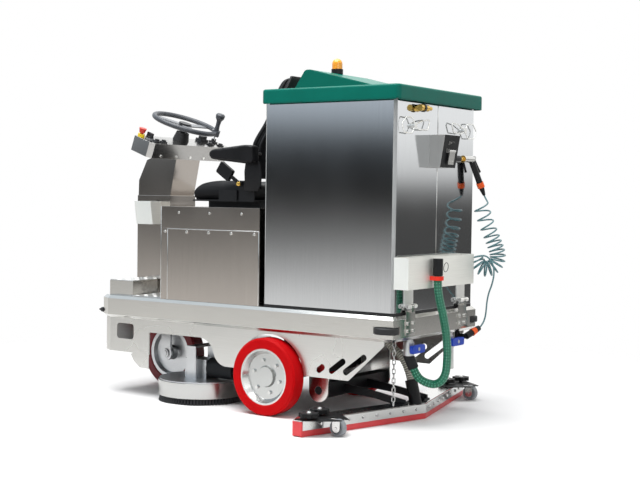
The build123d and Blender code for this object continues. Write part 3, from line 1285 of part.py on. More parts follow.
def make_suction_hose():
    start = SUCTION_FOOT + SUCTION_LEAN * SUCTION_CUFF
    points = [tuple(start), tuple(start + SUCTION_LEAN * 46), (-528.0, 35.0, 294.0), (-472.0, 38.0, 330.0),
              (*SUCTION_STUB, 368.0), (*SUCTION_STUB, SUCTION_STUB_Z)]
    path = route_path("suction_hose", points)
    print("suction_hose length", round(path.length))
    return ribbed_hose(path, SUCTION_R, SUCTION_BORE_R, DRAIN_RIB, SUCTION_RIBS, (0, 1, 0)).solids()


def make_suction_stub():
    """Pipe under the deck that takes the suction hose to the tank."""
    return rod_z(SUCTION_STUB_Z, DECK_UNDER, *SUCTION_STUB, SUCTION_R + 3).solids()


def curly_pitch(share):
    for (s0, p0), (s1, p1) in zip(CURLY_PITCHES, CURLY_PITCHES[1:]):
        if share <= s1:
            return p0 + (p1 - p0) * (share - s0) / (s1 - s0)
    return CURLY_PITCHES[-1][1]


def curly_point(axis, share, turns):
    ahead = axis.tangent_at(share)
    across = (CURLY_ACROSS - ahead * CURLY_ACROSS.dot(ahead)).normalized()
    angle = CURLY_START_ANGLE + 2 * math.pi * turns
    out = across * math.cos(angle) + ahead.cross(across) * math.sin(angle)
    return axis.position_at(share) + out * CURLY_COIL_R


def curly_stations():
    """Points and directions along the curls, a quarter turn apart, about the hanging axis."""
    axis = Spline(*CURLY_AXIS)
    fine = 4000
    wound = [0.0]
    for i in range(fine):
        wound.append(wound[-1] + 1 / curly_pitch((i + 0.5) / fine))
    turns = [CURLY_TURNS * value / wound[-1] for value in wound]
    stations = []
    place = 0
    for quarter in range(round(4 * CURLY_TURNS) + 1):
        while place < fine - 1 and turns[place] < quarter / 4:
            place += 1
        here = curly_point(axis, place / fine, turns[place])
        ahead = curly_point(axis, (place + 1) / fine, turns[place + 1])
        stations.append((here, (ahead - here).normalized()))
    return stations


def biarc(p0, t0, p1, t1):
    """Two tangent arcs from one point and direction to another."""
    span = p1 - p0
    total = t0 + t1
    a = 2 * t0.dot(t1) - 2
    b = -2 * span.dot(total)
    c = span.dot(span)
    reach = -c / b if abs(a) < 1e-9 else (-b - math.sqrt(b * b - 4 * a * c)) / (2 * a)
    first = p0 + t0 * reach
    second = p1 - t1 * reach
    joint = (first + second) * 0.5
    middle = (second - first).normalized()
    return [Edge.make_tangent_arc(p0, t0, joint), Edge.make_tangent_arc(joint, middle, p1)]


def make_curly_hose():
    """One unbroken tube: from the gun's tail through the curls, then down to the connector."""
    straight = 2 * CURLY_TUBE_R
    gun_end = Vector(*along_grip(1.12))
    gun_way = (Vector(*GRIP_END) - Vector(*GRIP_TOP)).normalized()
    plug_end = Vector(*tap_point(TAP_LENGTH + CONNECTOR_LENGTH))
    plug_way = TAP_WAY * -1
    stations = [(gun_end + gun_way * straight, gun_way)] + curly_stations()
    points = [stations[-1][0]] + [Vector(*point) for point in CURLY_TAIL] + [plug_end - plug_way * straight]
    for before, here, after in zip(points, points[1:], points[2:]):
        stations.append((here, (after - before).normalized()))
    stations.append((points[-1], plug_way))
    edges = [Edge.make_line(gun_end, stations[0][0])]
    for (p0, t0), (p1, t1) in zip(stations, stations[1:]):
        edges += biarc(p0, t0, p1, t1)
    edges.append(Edge.make_line(stations[-1][0], plug_end))
    path = Wire(edges)
    print_self_gap("curly_hose", path, CURLY_TUBE_R)
    section = Plane(gun_end, z_dir=gun_way) * Circle(CURLY_TUBE_R)
    return sweep(section, path=path).solids()


def print_self_gap(name, path, radius):
    """Prints the length of a wound tube and the least gap between its turns, measured on points."""
    step = 2.5
    points = [edge.position_at(i / 8) for edge in path.edges() for i in range(8)]
    least = None
    skip = int(6 * radius / step) + 6
    for i, here in enumerate(points):
        for there in points[i + skip:]:
            gap = abs(here - there) - 2 * radius
            if least is None or gap < least:
                least = gap
    print(name, "length", round(path.length), "least gap to itself", round(least, 2))


# Brush deck
def make_deck_frame():
    top = SHROUD_TOP + DECK_PLATE
    discs = both_sides(rod_z(SHROUD_TOP, top, BRUSH_X, BRUSH_Y, SHROUD_R - 6))
    bridge = block(BRUSH_X - 95, BRUSH_X + 95, -BRUSH_Y, BRUSH_Y, SHROUD_TOP, top)
    pieces = discs + [bridge]
    for y in (BRUSH_Y - 86, BRUSH_Y + 86 - YOKE):
        pieces += both_sides(block(BRUSH_X - 30, BRUSH_X + 30, y, y + YOKE, top, YOKE_TOP))
    pieces.append(block(BRUSH_X - 30, BRUSH_X + 30, -BRUSH_Y - 86, BRUSH_Y + 86, YOKE_TOP - YOKE, YOKE_TOP))
    pieces.append(rod_z(YOKE_TOP, RAIL_BOTTOM - 20, BRUSH_X, 0, LIFT_ROD_R))
    deck = fused(*pieces)
    for hole in both_sides(rod_z(0, top + 1, BRUSH_X, BRUSH_Y, SPINDLE_R + 5)):
        deck -= hole
    return deck.solids()


def make_brush_shrouds():
    ring = rod_z(SHROUD_BOTTOM, SHROUD_TOP, BRUSH_X, BRUSH_Y, SHROUD_R)
    ring -= rod_z(0, DECK_TOP, BRUSH_X, BRUSH_Y, SHROUD_R - SHEET)
    lip = rod_z(SHROUD_TOP - SHEET, SHROUD_TOP, BRUSH_X, BRUSH_Y, SHROUD_R - 1) - rod_z(0, DECK_TOP,
                                                                                        BRUSH_X, BRUSH_Y,
                                                                                        SHROUD_R - 20)
    return solids_of(*both_sides(fused(ring, lip)))


def make_brush_drives():
    """Gearbox and motor of each brush on the deck plate, with the spindle that the brush hangs on."""
    low = SHROUD_TOP + DECK_PLATE
    gearbox = block(BRUSH_X - 68, BRUSH_X + 72, BRUSH_Y - 50, BRUSH_Y + 50, low, low + GEARBOX_HEIGHT)
    spindle = rod_z(BRUSH_TOP - 30, low, BRUSH_X, BRUSH_Y, SPINDLE_R)
    motor = rod_x(BRUSH_X - 228, BRUSH_X - 68, BRUSH_Y, low + MOTOR_R + 2, MOTOR_R)
    return solids_of(*both_sides(fused(gearbox, spindle)), *both_sides(motor))


def make_brush():
    """Backing disc with rings of slightly splayed bristle tufts, all one piece."""
    disc = rod_z(BRUSH_TOP - 17, BRUSH_TOP, BRUSH_X, BRUSH_Y, BRUSH_DISC_R)
    hub = rod_z(BRUSH_TOP - 32, BRUSH_TOP, BRUSH_X, BRUSH_Y, SPINDLE_R + 14)
    strands = []
    for ring in range(STRAND_RINGS):
        outward = BRUSH_DISC_R - 8 - 30 * ring
        flare = (BRUSH_R - 6 - outward) if ring == 0 else 10.0
        for i in range(STRANDS_PER_RING):
            turn = 360.0 * (i + 0.5 * (ring % 2)) / STRANDS_PER_RING
            low = Pos(outward + flare, 0, BRISTLE_GROUND) * Rectangle(6, 9)
            high = Pos(outward, 0, BRUSH_TOP - 15) * Rectangle(6, 6)
            strands.append(Pos(BRUSH_X, BRUSH_Y, 0) * Rot(0, 0, turn) * loft([low, high], ruled=True))
    brush = disc.fuse(hub, *strands)
    return brush - rod_z(0, DECK_TOP, BRUSH_X, BRUSH_Y, SPINDLE_R + RUN)


# Squeegee
def squeegee_line(y, back):
    """Rear edge of the body at a side position, moved rearwards by the given distance."""
    return SQUEEGEE_REAR - back + abs(y) * SQUEEGEE_SLOPE


def from_end(forward, inward):
    """A place near the left end, forward of the body's rear corner and inward from it."""
    return (SQUEEGEE_END_X + forward, SQUEEGEE_HALF - inward)


def end_tuck(y):
    """How far the front edge is drawn back at a side position, close to either end."""
    return END_TUCK * max(0.0, 1 - (SQUEEGEE_HALF - abs(y)) / END_TUCK_RUN)


def straight_edge(back, half):
    """Corners of a swept-back edge behind the body's rear edge, from right to left."""
    return [(squeegee_line(y, back), y) for y in (-half, 0, half)]


def tucked_edge(back, half):
    """The same for an edge that is drawn back close to both ends."""
    bend = SQUEEGEE_HALF - END_TUCK_RUN
    return [(squeegee_line(y, back) - end_tuck(y), y) for y in (-half, -bend, 0, bend, half)]


def squeegee_strip(rear, front, z0, z1):
    """A swept-back strip between two edges."""
    return prism_z(rear + front[::-1], z0, z1)


def make_squeegee_body():
    half = SQUEEGEE_HALF - END_LIP
    inner = half - SHEET
    body = squeegee_strip(straight_edge(0, half), tucked_edge(-SQUEEGEE_DEPTH, half), SQUEEGEE_BOTTOM,
                          SQUEEGEE_TOP)
    body -= squeegee_strip(straight_edge(-SHEET, inner), tucked_edge(SHEET - SQUEEGEE_DEPTH, inner),
                           SQUEEGEE_BOTTOM - 1, SQUEEGEE_TOP - SHEET)
    clamp = squeegee_strip(straight_edge(BLADE + SHEET, half), straight_edge(BLADE, half),
                           SQUEEGEE_BOTTOM - 2, SQUEEGEE_TOP - 2)
    screws = []
    pitch = (SQUEEGEE_HALF - SCREW_LAST_INWARD - SCREW_FIRST_Y) / (SQUEEGEE_SCREWS - 1)
    for i in range(SQUEEGEE_SCREWS):
        y = SCREW_FIRST_Y + i * pitch
        face = squeegee_line(y, BLADE + SHEET)
        screws += both_sides(rod_x(face - 5, face + 1, y, 50, SCREW_HEAD_R))
    return solids_of(body, fused(clamp, *screws))


def make_squeegee_blades():
    """Rear and front blade, and the lip that closes each end between them."""
    top = SQUEEGEE_TOP - 6
    low = BLADE_GROUND + 3
    half = SQUEEGEE_HALF - END_LIP
    rear = squeegee_strip(straight_edge(BLADE, SQUEEGEE_HALF), straight_edge(0, SQUEEGEE_HALF), BLADE_GROUND,
                          top)
    front_face = tucked_edge(-SQUEEGEE_DEPTH - BLADE, half)
    front = squeegee_strip(tucked_edge(-SQUEEGEE_DEPTH, half), front_face, low, top)
    outer_x = squeegee_line(SQUEEGEE_HALF, 0)
    lip = prism_z([(squeegee_line(half, 0), half), front_face[-1],
                   (outer_x + SQUEEGEE_DEPTH - END_TUCK, SQUEEGEE_HALF), (outer_x, SQUEEGEE_HALF)], low, top)
    return solids_of(rear, front, *both_sides(lip))


def make_squeegee_fittings():
    """Black end plates with their star knobs, the suction cuff, and the ring that holds the chain."""
    low = SQUEEGEE_TOP
    outline = [from_end(*place) for place in END_PLATE_OUTLINE]
    slot_half = CASTER_WIDTH / 2 + 2
    slot = block(CASTER_X - CASTER_R - 6, CASTER_X + CASTER_R + 6, CASTER_Y - slot_half,
                 CASTER_Y + slot_half, low - 1, low + 9)
    pieces = both_sides(prism_z(outline, low, low + END_PLATE) - slot)
    knob_low = low + STAR_KNOB_RISE
    for place in KNOB_PLACES:
        x, y = from_end(*place)
        stem = rod_z(low + END_PLATE, knob_low + 2, x, y, STAR_STEM_R)
        head = rod_z(knob_low, knob_low + STAR_KNOB_HEIGHT, x, y, STAR_KNOB_R)
        for i in range(STAR_KNOB_NOTCHES):
            angle = 2 * math.pi * i / STAR_KNOB_NOTCHES
            notch_x = x + STAR_NOTCH_OUT * math.cos(angle)
            notch_y = y + STAR_NOTCH_OUT * math.sin(angle)
            head -= rod_z(0, DECK_TOP, notch_x, notch_y, STAR_NOTCH_R)
        pieces += both_sides(fused(stem, head))
    cuff = rod_between(tuple(SUCTION_FOOT - SUCTION_LEAN * 20),
                       tuple(SUCTION_FOOT + SUCTION_LEAN * SUCTION_CUFF), CUFF_R, CUFF_R)
    cuff -= block(CHASSIS_REAR, 0, -BODY_HALF, BODY_HALF, 0, low)
    pieces.append(cuff)
    return solids_of(*pieces)


def make_squeegee_arm():
    """Cross tube in the hangers and two arms down to the body, each on a foot."""
    half = LIFT_TUBE / 2
    tube = block(LIFT_PIVOT_X - half, LIFT_PIVOT_X + half, -HANGER_Y + GAP, HANGER_Y - GAP,
                 LIFT_PIVOT_Z - half, LIFT_PIVOT_Z + half)
    journal = rod_y(-HANGER_Y - HANGER, HANGER_Y + HANGER, LIFT_PIVOT_X, LIFT_PIVOT_Z, LIFT_JOURNAL_R)
    reach = squeegee_line(ARM_Y, -20)
    outline = [(LIFT_PIVOT_X, LIFT_PIVOT_Z - 22), (LIFT_PIVOT_X, LIFT_PIVOT_Z + 22), (-420, 122),
               (reach, SQUEEGEE_TOP + 24),
               (reach, SQUEEGEE_TOP), (reach + 70, SQUEEGEE_TOP), (-420, 88)]
    arm = prism_y(outline, ARM_Y, ARM_Y + 12)
    foot = block(reach, reach + 70, ARM_Y - 20, ARM_Y + 32, SQUEEGEE_TOP, SQUEEGEE_TOP + 6)
    return fused(tube, journal, *both_sides(arm), *both_sides(foot)).solids()


def make_caster_forks():
    cheek = block(CASTER_X - 20, CASTER_X + 20, CASTER_Y - CASTER_WIDTH / 2 - 6,
                  CASTER_Y - CASTER_WIDTH / 2 - 2, CASTER_R, SQUEEGEE_TOP)
    cheek += rod_y(CASTER_Y - CASTER_WIDTH / 2 - 6, CASTER_Y - CASTER_WIDTH / 2 - 2, CASTER_X, CASTER_Z, 20)
    far = cheek.moved(Pos(0, CASTER_WIDTH + 8, 0))
    half = CASTER_WIDTH / 2 + 8
    pin = rod_y(CASTER_Y - half, CASTER_Y + half, CASTER_X, CASTER_Z, CASTER_PIN_R)
    return solids_of(*both_sides(fused(cheek, far, pin)))


def make_caster():
    half = CASTER_WIDTH / 2
    profile = [(CASTER_PIN_R + RUN, -half), (14, -half), (18, 6 - half), (26, 6 - half), (28, -half),
               (CASTER_R - 3, -half),
               (CASTER_R, 3 - half), (CASTER_R, half - 3), (CASTER_R - 3, half), (28, half), (26,
                                                                                              half - 6),
                                                                                              (18,
                                                                                               half - 6),
               (14, half), (CASTER_PIN_R + RUN, half)]
    return turned(profile, CASTER_X, CASTER_Y, CASTER_Z, "y")


def chain_link(straight):
    bend = CHAIN_BEND_R
    path = Wire(SlotCenterToCenter(straight, 2 * bend).edges())
    start = path.position_at(0)
    return sweep(Plane(start, z_dir=path.tangent_at(0)) * Circle(CHAIN_WIRE_R), path=path)


def make_lift_chain():
    """Separate links from the squeegee up to the frame rail, each a quarter turn from the last."""
    play = 0.3
    low = SQUEEGEE_TOP + play
    height = RAIL_BOTTOM - play - low
    ends = 2 * (CHAIN_BEND_R + CHAIN_WIRE_R)
    step_extra = 2 * (CHAIN_BEND_R - CHAIN_WIRE_R) - play
    straight = (height - ends - (CHAIN_LINKS - 1) * step_extra) / CHAIN_LINKS
    link = chain_link(straight)
    links = []
    for i in range(CHAIN_LINKS):
        z = low + ends / 2 + straight / 2 + i * (straight + step_extra)
        links.append(Pos(CHAIN_X, CHAIN_Y, z) * Rot(0, 0, 45 + 90 * (i % 2)) * Rot(0, 90, 0) * link)
    return solids_of(*links)


# Every node, with the pieces that it is made of
def all_nodes():
    left_wheel = make_rear_wheel()
    left_roller = make_corner_roller()
    left_caster = make_caster()
    left_brush = make_brush()
    left_arm = make_armrest()
    return {
        "chassis_frame": (make_chassis_frame() + make_slew_bearing() + make_lift_actuator()
                          + make_suction_stub()),
        "chassis_band": (make_chassis_band() + make_step_boxes() + make_squeegee_hangers()
                         + make_hinge_lower_leaves()),
        "side_skirts": make_side_skirts(),
        "checker_plates": make_checker_plates(),
        "rubber_buffers": make_rubber_buffers() + make_tank_seal(),
        "corner_roller_left": left_roller.solids(),
        "corner_roller_right": other_side(left_roller).solids(),
        "rear_axle": make_rear_axle(),
        "rear_wheel_left": left_wheel.solids(),
        "rear_wheel_right": other_side(left_wheel).solids(),
        "drive_fork": make_drive_fork() + make_drive_motor(),
        "drive_wheel": make_drive_wheel(),
        "seat_box": make_seat_box() + make_seat_box_doors(),
        "battery_blocks": make_battery_blocks(),
        "panel_fasteners": make_panel_fasteners(),
        "steering_column": make_steering_column() + make_document_pocket(),
        "console_housing": make_console_housing(),
        "console_fittings": make_console_fittings(),
        "estop_button": make_estop_button(),
        "speed_knob": make_speed_knob(),
        "direction_lever": make_direction_lever(),
        "steering_wheel": make_steering_wheel(),
        "spinner_knob": make_spinner_knob(),
        "seat_base": make_seat_base(),
        "seat_cushion": make_seat_cushion(),
        "backrest": make_backrest(),
        "armrest_left": left_arm.solids(),
        "armrest_right": other_side(left_arm).solids(),
        "belt_buckle": make_belt_buckle(),
        "tank_shell": make_tank_shell(),
        "tank_lid": make_tank_lid(),
        "vacuum_motor": make_vacuum_motor(),
        "beacon": make_beacon(),
        "tank_tray": make_tank_tray(),
        "rear_fittings": make_wire_hooks() + make_fill_nipple() + make_hinge_upper_leaves(),
        "latch_box": make_latch_box(),
        "latch_lever": make_latch_lever(),
        "spray_gun": make_spray_gun(),
        "gun_trigger": make_gun_trigger(),
        "water_valves": make_water_valves(),
        "valve_handle_left": make_valve_handle(VALVE_LEFT_Y),
        "valve_handle_right": make_valve_handle(VALVE_RIGHT_Y),
        "hose_clip": make_hose_clip(),
        "drain_cuff": make_drain_cuff(),
        "hose_ends": make_hose_ends(),
        "drain_hose": make_drain_hose(),
        "curly_hose": make_curly_hose(),
        "deck_frame": make_deck_frame(),
        "brush_shrouds": make_brush_shrouds(),
        "brush_drives": make_brush_drives(),
        "brush_left": left_brush.solids(),
        "brush_right": other_side(left_brush).solids(),
        "squeegee_body": make_squeegee_body() + make_caster_forks(),
        "squeegee_blades": make_squeegee_blades(),
        "squeegee_fittings": make_squeegee_fittings(),
        "squeegee_arm": make_squeegee_arm(),
        "suction_hose": make_suction_hose(),
        "lift_chain": make_lift_chain(),
        "caster_left": left_caster.solids(),
        "caster_right": other_side(left_caster).solids(),
    }


os.makedirs("parts", exist_ok=True)
for node, solids in all_nodes().items():
    shape = Compound(solids) if len(solids) > 1 else solids[0]
    export_step(Pos(FRAME_SHIFT, 0, 0) * shape, "parts/" + node + ".step")
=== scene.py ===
"""Ride-on floor scrubber: finishes, upholstery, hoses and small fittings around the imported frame."""

import json
import math

import bpy
from mathutils import Matrix, Vector


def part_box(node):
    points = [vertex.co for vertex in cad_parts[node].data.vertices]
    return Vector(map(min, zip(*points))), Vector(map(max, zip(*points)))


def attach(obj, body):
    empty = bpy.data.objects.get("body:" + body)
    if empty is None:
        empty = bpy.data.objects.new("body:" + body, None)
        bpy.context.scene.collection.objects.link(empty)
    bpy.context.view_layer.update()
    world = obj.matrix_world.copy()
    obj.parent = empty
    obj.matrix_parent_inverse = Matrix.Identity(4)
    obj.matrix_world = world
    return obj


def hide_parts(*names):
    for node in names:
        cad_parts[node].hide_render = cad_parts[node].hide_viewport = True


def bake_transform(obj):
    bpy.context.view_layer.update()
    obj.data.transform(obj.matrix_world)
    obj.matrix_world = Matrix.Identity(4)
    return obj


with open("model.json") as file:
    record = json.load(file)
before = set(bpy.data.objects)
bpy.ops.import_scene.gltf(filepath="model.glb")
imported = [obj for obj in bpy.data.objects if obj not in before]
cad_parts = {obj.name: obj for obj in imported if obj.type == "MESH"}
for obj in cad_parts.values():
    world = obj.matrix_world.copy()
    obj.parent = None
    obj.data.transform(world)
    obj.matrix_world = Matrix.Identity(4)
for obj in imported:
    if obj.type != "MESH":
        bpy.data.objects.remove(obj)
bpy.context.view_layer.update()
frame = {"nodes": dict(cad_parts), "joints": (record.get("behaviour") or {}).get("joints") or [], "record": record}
nodes = frame["nodes"]
scene = bpy.context.scene

MM = 0.001
AXLE_SHIFT = 176.0
JOINTS = {joint["name"]: joint for joint in frame["joints"]}
BODY_OF = {}
for body_name, members in frame["record"]["behaviour"]["bodies"].items():
    for member in members:
        BODY_OF[member] = body_name


# Places and hand tools
def at(x, y, z):
    """A place given in millimetres forward of the rear axle, to the left and above the floor."""
    return Vector(((x - AXLE_SHIFT) * MM, y * MM, z * MM))


def put_down():
    """Leaves edit mode and selects nothing."""
    active = bpy.context.view_layer.objects.active
    if active is not None and active.mode != "OBJECT":
        bpy.ops.object.mode_set(mode="OBJECT")
    bpy.ops.object.select_all(action="DESELECT")


def pick(piece):
    put_down()
    bpy.context.view_layer.objects.active = piece
    piece.select_set(True)


def open_up(piece):
    """Takes a piece into edit mode with all of it selected."""
    pick(piece)
    bpy.ops.object.mode_set(mode="EDIT")
    bpy.ops.mesh.select_all(action="SELECT")


def place_in_mesh(piece):
    pick(piece)
    bpy.ops.object.transform_apply(location=True, rotation=True, scale=True)


def apply_all(piece):
    pick(piece)
    for step in list(piece.modifiers):
        bpy.ops.object.modifier_apply(modifier=step.name)


def soften(piece, width, segments=2, angle=35.0):
    """Rounds the edges that are sharper than the angle."""
    bevel = piece.modifiers.new("edge", "BEVEL")
    bevel.width = width
    bevel.segments = segments
    bevel.limit_method = "ANGLE"
    bevel.angle_limit = math.radians(angle)
    apply_all(piece)


def smooth(piece, angle=40.0):
    pick(piece)
    bpy.ops.object.shade_smooth_by_angle(angle=math.radians(angle))


def new_piece(name, mesh):
    piece = bpy.data.objects.new(name, mesh)
    scene.collection.objects.link(piece)
    return piece


def block(name, low, high, edge=0.0):
    """A box between two corners, with its edges rounded."""
    put_down()
    bpy.ops.mesh.primitive_cube_add(size=1.0, location=(low + high) / 2)
    piece = bpy.context.object
    piece.name = name
    piece.scale = high - low
    place_in_mesh(piece)
    if edge:
        soften(piece, edge)
    return piece


def drum(name, start, end, radius, sides=32, end_radius=None, edge=0.0):
    """A round bar from start to end, with its edges rounded."""
    put_down()
    axis = end - start
    tip = radius if end_radius is None else end_radius
    bpy.ops.mesh.primitive_cone_add(vertices=sides, radius1=radius, radius2=tip, depth=axis.length)
    piece = bpy.context.object
    piece.name = name
    turn = axis.to_track_quat("Z", "Y").to_matrix().to_4x4()
    piece.matrix_world = Matrix.Translation((start + end) / 2) @ turn
    place_in_mesh(piece)
    if edge:
        soften(piece, edge)
    return piece


def joined(name, pieces):
    put_down()
    for piece in pieces:
        piece.select_set(True)
    bpy.context.view_layer.objects.active = pieces[0]
    if len(pieces) > 1:
        bpy.ops.object.join()
    piece = bpy.context.view_layer.objects.active
    piece.name = name
    return piece


def set_out(name, master, places):
    """One modelled shape copied to each place and joined into one piece."""
    twins = []
    for place in places:
        twin = new_piece(name, master.data.copy())
        twin.data.transform(place)
        twins.append(twin)
    bpy.data.objects.remove(master)
    return joined(name, twins)


def merged_copy(node, name):
    """A copy of a node's mesh with its triangles joined up."""
    piece = new_piece(name, nodes[node].data.copy())
    piece.data.materials.clear()
    open_up(piece)
    bpy.ops.mesh.remove_doubles(threshold=0.00001)
    bpy.ops.mesh.customdata_custom_splitnormals_clear()
    put_down()
    return piece


def fit(piece, body, slot, finish, *replaced):
    """Gives a finished piece its body and finish, and hides the nodes that it stands for. The slot is not used."""
    if not piece.data.materials:
        piece.data.materials.append(finish)
    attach(piece, body)
    if replaced:
        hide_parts(*replaced)


# Shader groups for grain that several finishes share
def tone(red, green, blue):
    """A colour as it looks, from 0 to 255, as a linear one."""
    levels = []
    for level in (red, green, blue):
        share = level / 255.0
        levels.append(share / 12.92 if share <= 0.04045 else ((share + 0.055) / 1.055) ** 2.4)
    return (*levels, 1.0)


def scaled(colour, share):
    """The same, made darker or lighter by a share."""
    return (*(min(1.0, level * share) for level in tone(*colour)[:3]), 1.0)


def wired(tree, kind, inputs, **settings):
    """A shader node with its settings, and with each input set to a value or linked to an output."""
    node = tree.nodes.new("ShaderNode" + kind)
    for setting, value in settings.items():
        setattr(node, setting, value)
    for label, value in inputs.items():
        if isinstance(value, bpy.types.NodeSocket):
            tree.links.new(value, node.inputs[label])
        else:
            node.inputs[label].default_value = value
    return node


VECTOR = "NodeSocketVector"
VALUE = "NodeSocketFloat"


def grain_group(name, inputs, outputs):
    """A shader group with named inputs, and named values as its outputs."""
    group = bpy.data.node_groups.new(name, "ShaderNodeTree")
    for label, kind in inputs.items():
        group.interface.new_socket(label, in_out="INPUT", socket_type=kind)
    for label in outputs:
        group.interface.new_socket(label, in_out="OUTPUT", socket_type=VALUE)
    return group, group.nodes.new("NodeGroupInput").outputs, group.nodes.new("NodeGroupOutput").inputs


def mapped(tree, value, low, high, to_low=0.0, to_high=1.0, kind="LINEAR"):
    """A value whose range from low to high is made into another range."""
    inputs = {"Value": value, "From Min": low, "From Max": high, "To Min": to_low, "To Max": to_high}
    return wired(tree, "MapRange", inputs, interpolation_type=kind).outputs[0]


def noise(tree, place, scale, detail, rough=0.5):
    inputs = {"Vector": place, "Scale": scale, "Detail": detail, "Roughness": rough}
    return wired(tree, "TexNoise", inputs).outputs[0]


def make_brushed_grain():
    """Fine streaks along a sheet, and broad clouds where it was handled."""
    inputs = {"Place": VECTOR, "Stretch": VECTOR}
    group, start, end = grain_group("brushed_grain", inputs, ["Streak", "Cloud"])
    stretched = wired(group, "Mapping", {"Vector": start["Place"], "Scale": start["Stretch"]})
    group.links.new(noise(group, stretched.outputs[0], 1.0, 4.0, 0.65), end["Streak"])
    group.links.new(noise(group, start["Place"], 4.0, 2.0), end["Cloud"])
    return group


def make_moulded_grain():
    """Fine grain of moulded plastic and rubber, and its uneven tone."""
    group, start, end = grain_group("moulded_grain", {"Place": VECTOR, "Scale": VALUE}, ["Grain", "Mottle"])
    group.links.new(noise(group, start["Place"], start["Scale"], 3.0), end["Grain"])
    group.links.new(noise(group, start["Place"], 9.0, 3.0), end["Mottle"])
    return group


def make_hide_grain():
    """Pebbled grain of upholstery vinyl."""
    group, start, end = grain_group("hide_grain", {"Place": VECTOR}, ["Pebble", "Sheen"])
    cells = wired(group, "TexVoronoi", {"Vector": start["Place"], "Scale": 420.0})
    group.links.new(cells.outputs["Distance"], end["Pebble"])
    group.links.new(noise(group, start["Place"], 14.0, 3.0), end["Sheen"])
    return group


DOT_CORE = 0.15
DOT_EDGE = 0.26
DOTS_AROUND_AND_ALONG = (10.0, 72.0, 0.0)


def make_dot_rows():
    """Rows of small pale dots along and around a hose."""
    group, start, end = grain_group("dot_rows", {"Place": VECTOR, "Rows": VECTOR}, ["Dot"])
    spread = wired(group, "Mapping", {"Vector": start["Place"], "Scale": start["Rows"]})
    cell = wired(group, "VectorMath", {0: spread.outputs[0]}, operation="FRACTION")
    off = wired(group, "VectorMath", {0: cell.outputs[0], 1: (0.5, 0.5, 0.0)}, operation="DISTANCE")
    dot = mapped(group, off.outputs["Value"], DOT_CORE, DOT_EDGE, 1.0, 0.0, "SMOOTHSTEP")
    group.links.new(dot, end["Dot"])
    return group


BRUSHED_GRAIN = make_brushed_grain()
DOT_ROWS = make_dot_rows()
MOULDED_GRAIN = make_moulded_grain()
HIDE_GRAIN = make_hide_grain()


def start_finish(name, metallic=0.0):
    finish = bpy.data.materials.new(name)
    finish.use_nodes = True
    tree = finish.node_tree
    shader = tree.nodes["Principled BSDF"]
    shader.inputs["Metallic"].default_value = metallic
    place = tree.nodes.new("ShaderNodeTexCoord").outputs["Object"]
    return finish, tree, shader, place


def use_group(tree, group, inputs):
    """The outputs of a shared group, placed in a finish with its own values."""
    return wired(tree, "Group", inputs, node_tree=group).outputs


def between(tree, share, first, second):
    """A colour between two, by a share that varies over the surface."""
    return wired(tree, "Mix", {0: share, 6: first, 7: second}, data_type="RGBA").outputs[2]


def ranged(tree, value, low, high):
    """A grain's value, spread between two levels."""
    return mapped(tree, value, 0.3, 0.7, low, high)


def bumped(tree, shader, height, strength, distance, edge=0.0):
    """Gives a surface its fine relief, and edges that catch the light over a small radius."""
    inputs = {"Height": height, "Strength": strength, "Distance": distance}
    if edge:
        inputs["Normal"] = wired(tree, "Bevel", {"Radius": edge}, samples=6).outputs[0]
    tree.links.new(wired(tree, "Bump", inputs).outputs[0], shader.inputs["Normal"])


def brushed_metal(name, colour, rough, stretch, contrast=0.06, depth=0.02, edge=0.0015):
    """Bare sheet or bar with a brushed grain along one way."""
    finish, tree, shader, place = start_finish(name, metallic=1.0)
    grain = use_group(tree, BRUSHED_GRAIN, {"Place": place, "Stretch": stretch})
    streak = ranged(tree, grain["Streak"], 0.0, 1.0)
    colours = between(tree, streak, scaled(colour, 1 - contrast), scaled(colour, 1 + contrast))
    tree.links.new(colours, shader.inputs["Base Color"])
    tree.links.new(ranged(tree, grain["Cloud"], rough * 0.94, rough * 1.08), shader.inputs["Roughness"])
    bumped(tree, shader, grain["Streak"], depth, 0.0004, edge)
    return finish


def moulded(name, colour, rough, scale=900.0, depth=0.05, coat=0.0, contrast=0.1, shine=0.4, edge=0.001):
    """Moulded plastic, rubber or paint with a fine grain and an uneven tone."""
    finish, tree, shader, place = start_finish(name)
    grain = use_group(tree, MOULDED_GRAIN, {"Place": place, "Scale": scale})
    mottle = ranged(tree, grain["Mottle"], 0.0, 1.0)
    colours = between(tree, mottle, scaled(colour, 1 - contrast), scaled(colour, 1 + contrast))
    tree.links.new(colours, shader.inputs["Base Color"])
    tree.links.new(ranged(tree, grain["Mottle"], rough * 0.9, rough * 1.1), shader.inputs["Roughness"])
    bumped(tree, shader, grain["Grain"], depth, 0.0005, edge)
    shader.inputs["Specular IOR Level"].default_value = shine
    if coat:
        shader.inputs["Coat Weight"].default_value = coat
        shader.inputs["Coat Roughness"].default_value = 0.04
    return finish


def upholstery(name, colour):
    """Grained vinyl with a low, uneven sheen."""
    finish, tree, shader, place = start_finish(name)
    hide = use_group(tree, HIDE_GRAIN, {"Place": place})
    sheen = ranged(tree, hide["Sheen"], 0.0, 1.0)
    colours = between(tree, sheen, scaled(colour, 0.8), scaled(colour, 1.25))
    tree.links.new(colours, shader.inputs["Base Color"])
    tree.links.new(ranged(tree, hide["Sheen"], 0.42, 0.55), shader.inputs["Roughness"])
    shader.inputs["Specular IOR Level"].default_value = 0.16
    bumped(tree, shader, hide["Pebble"], 0.25, 0.0006)
    return finish


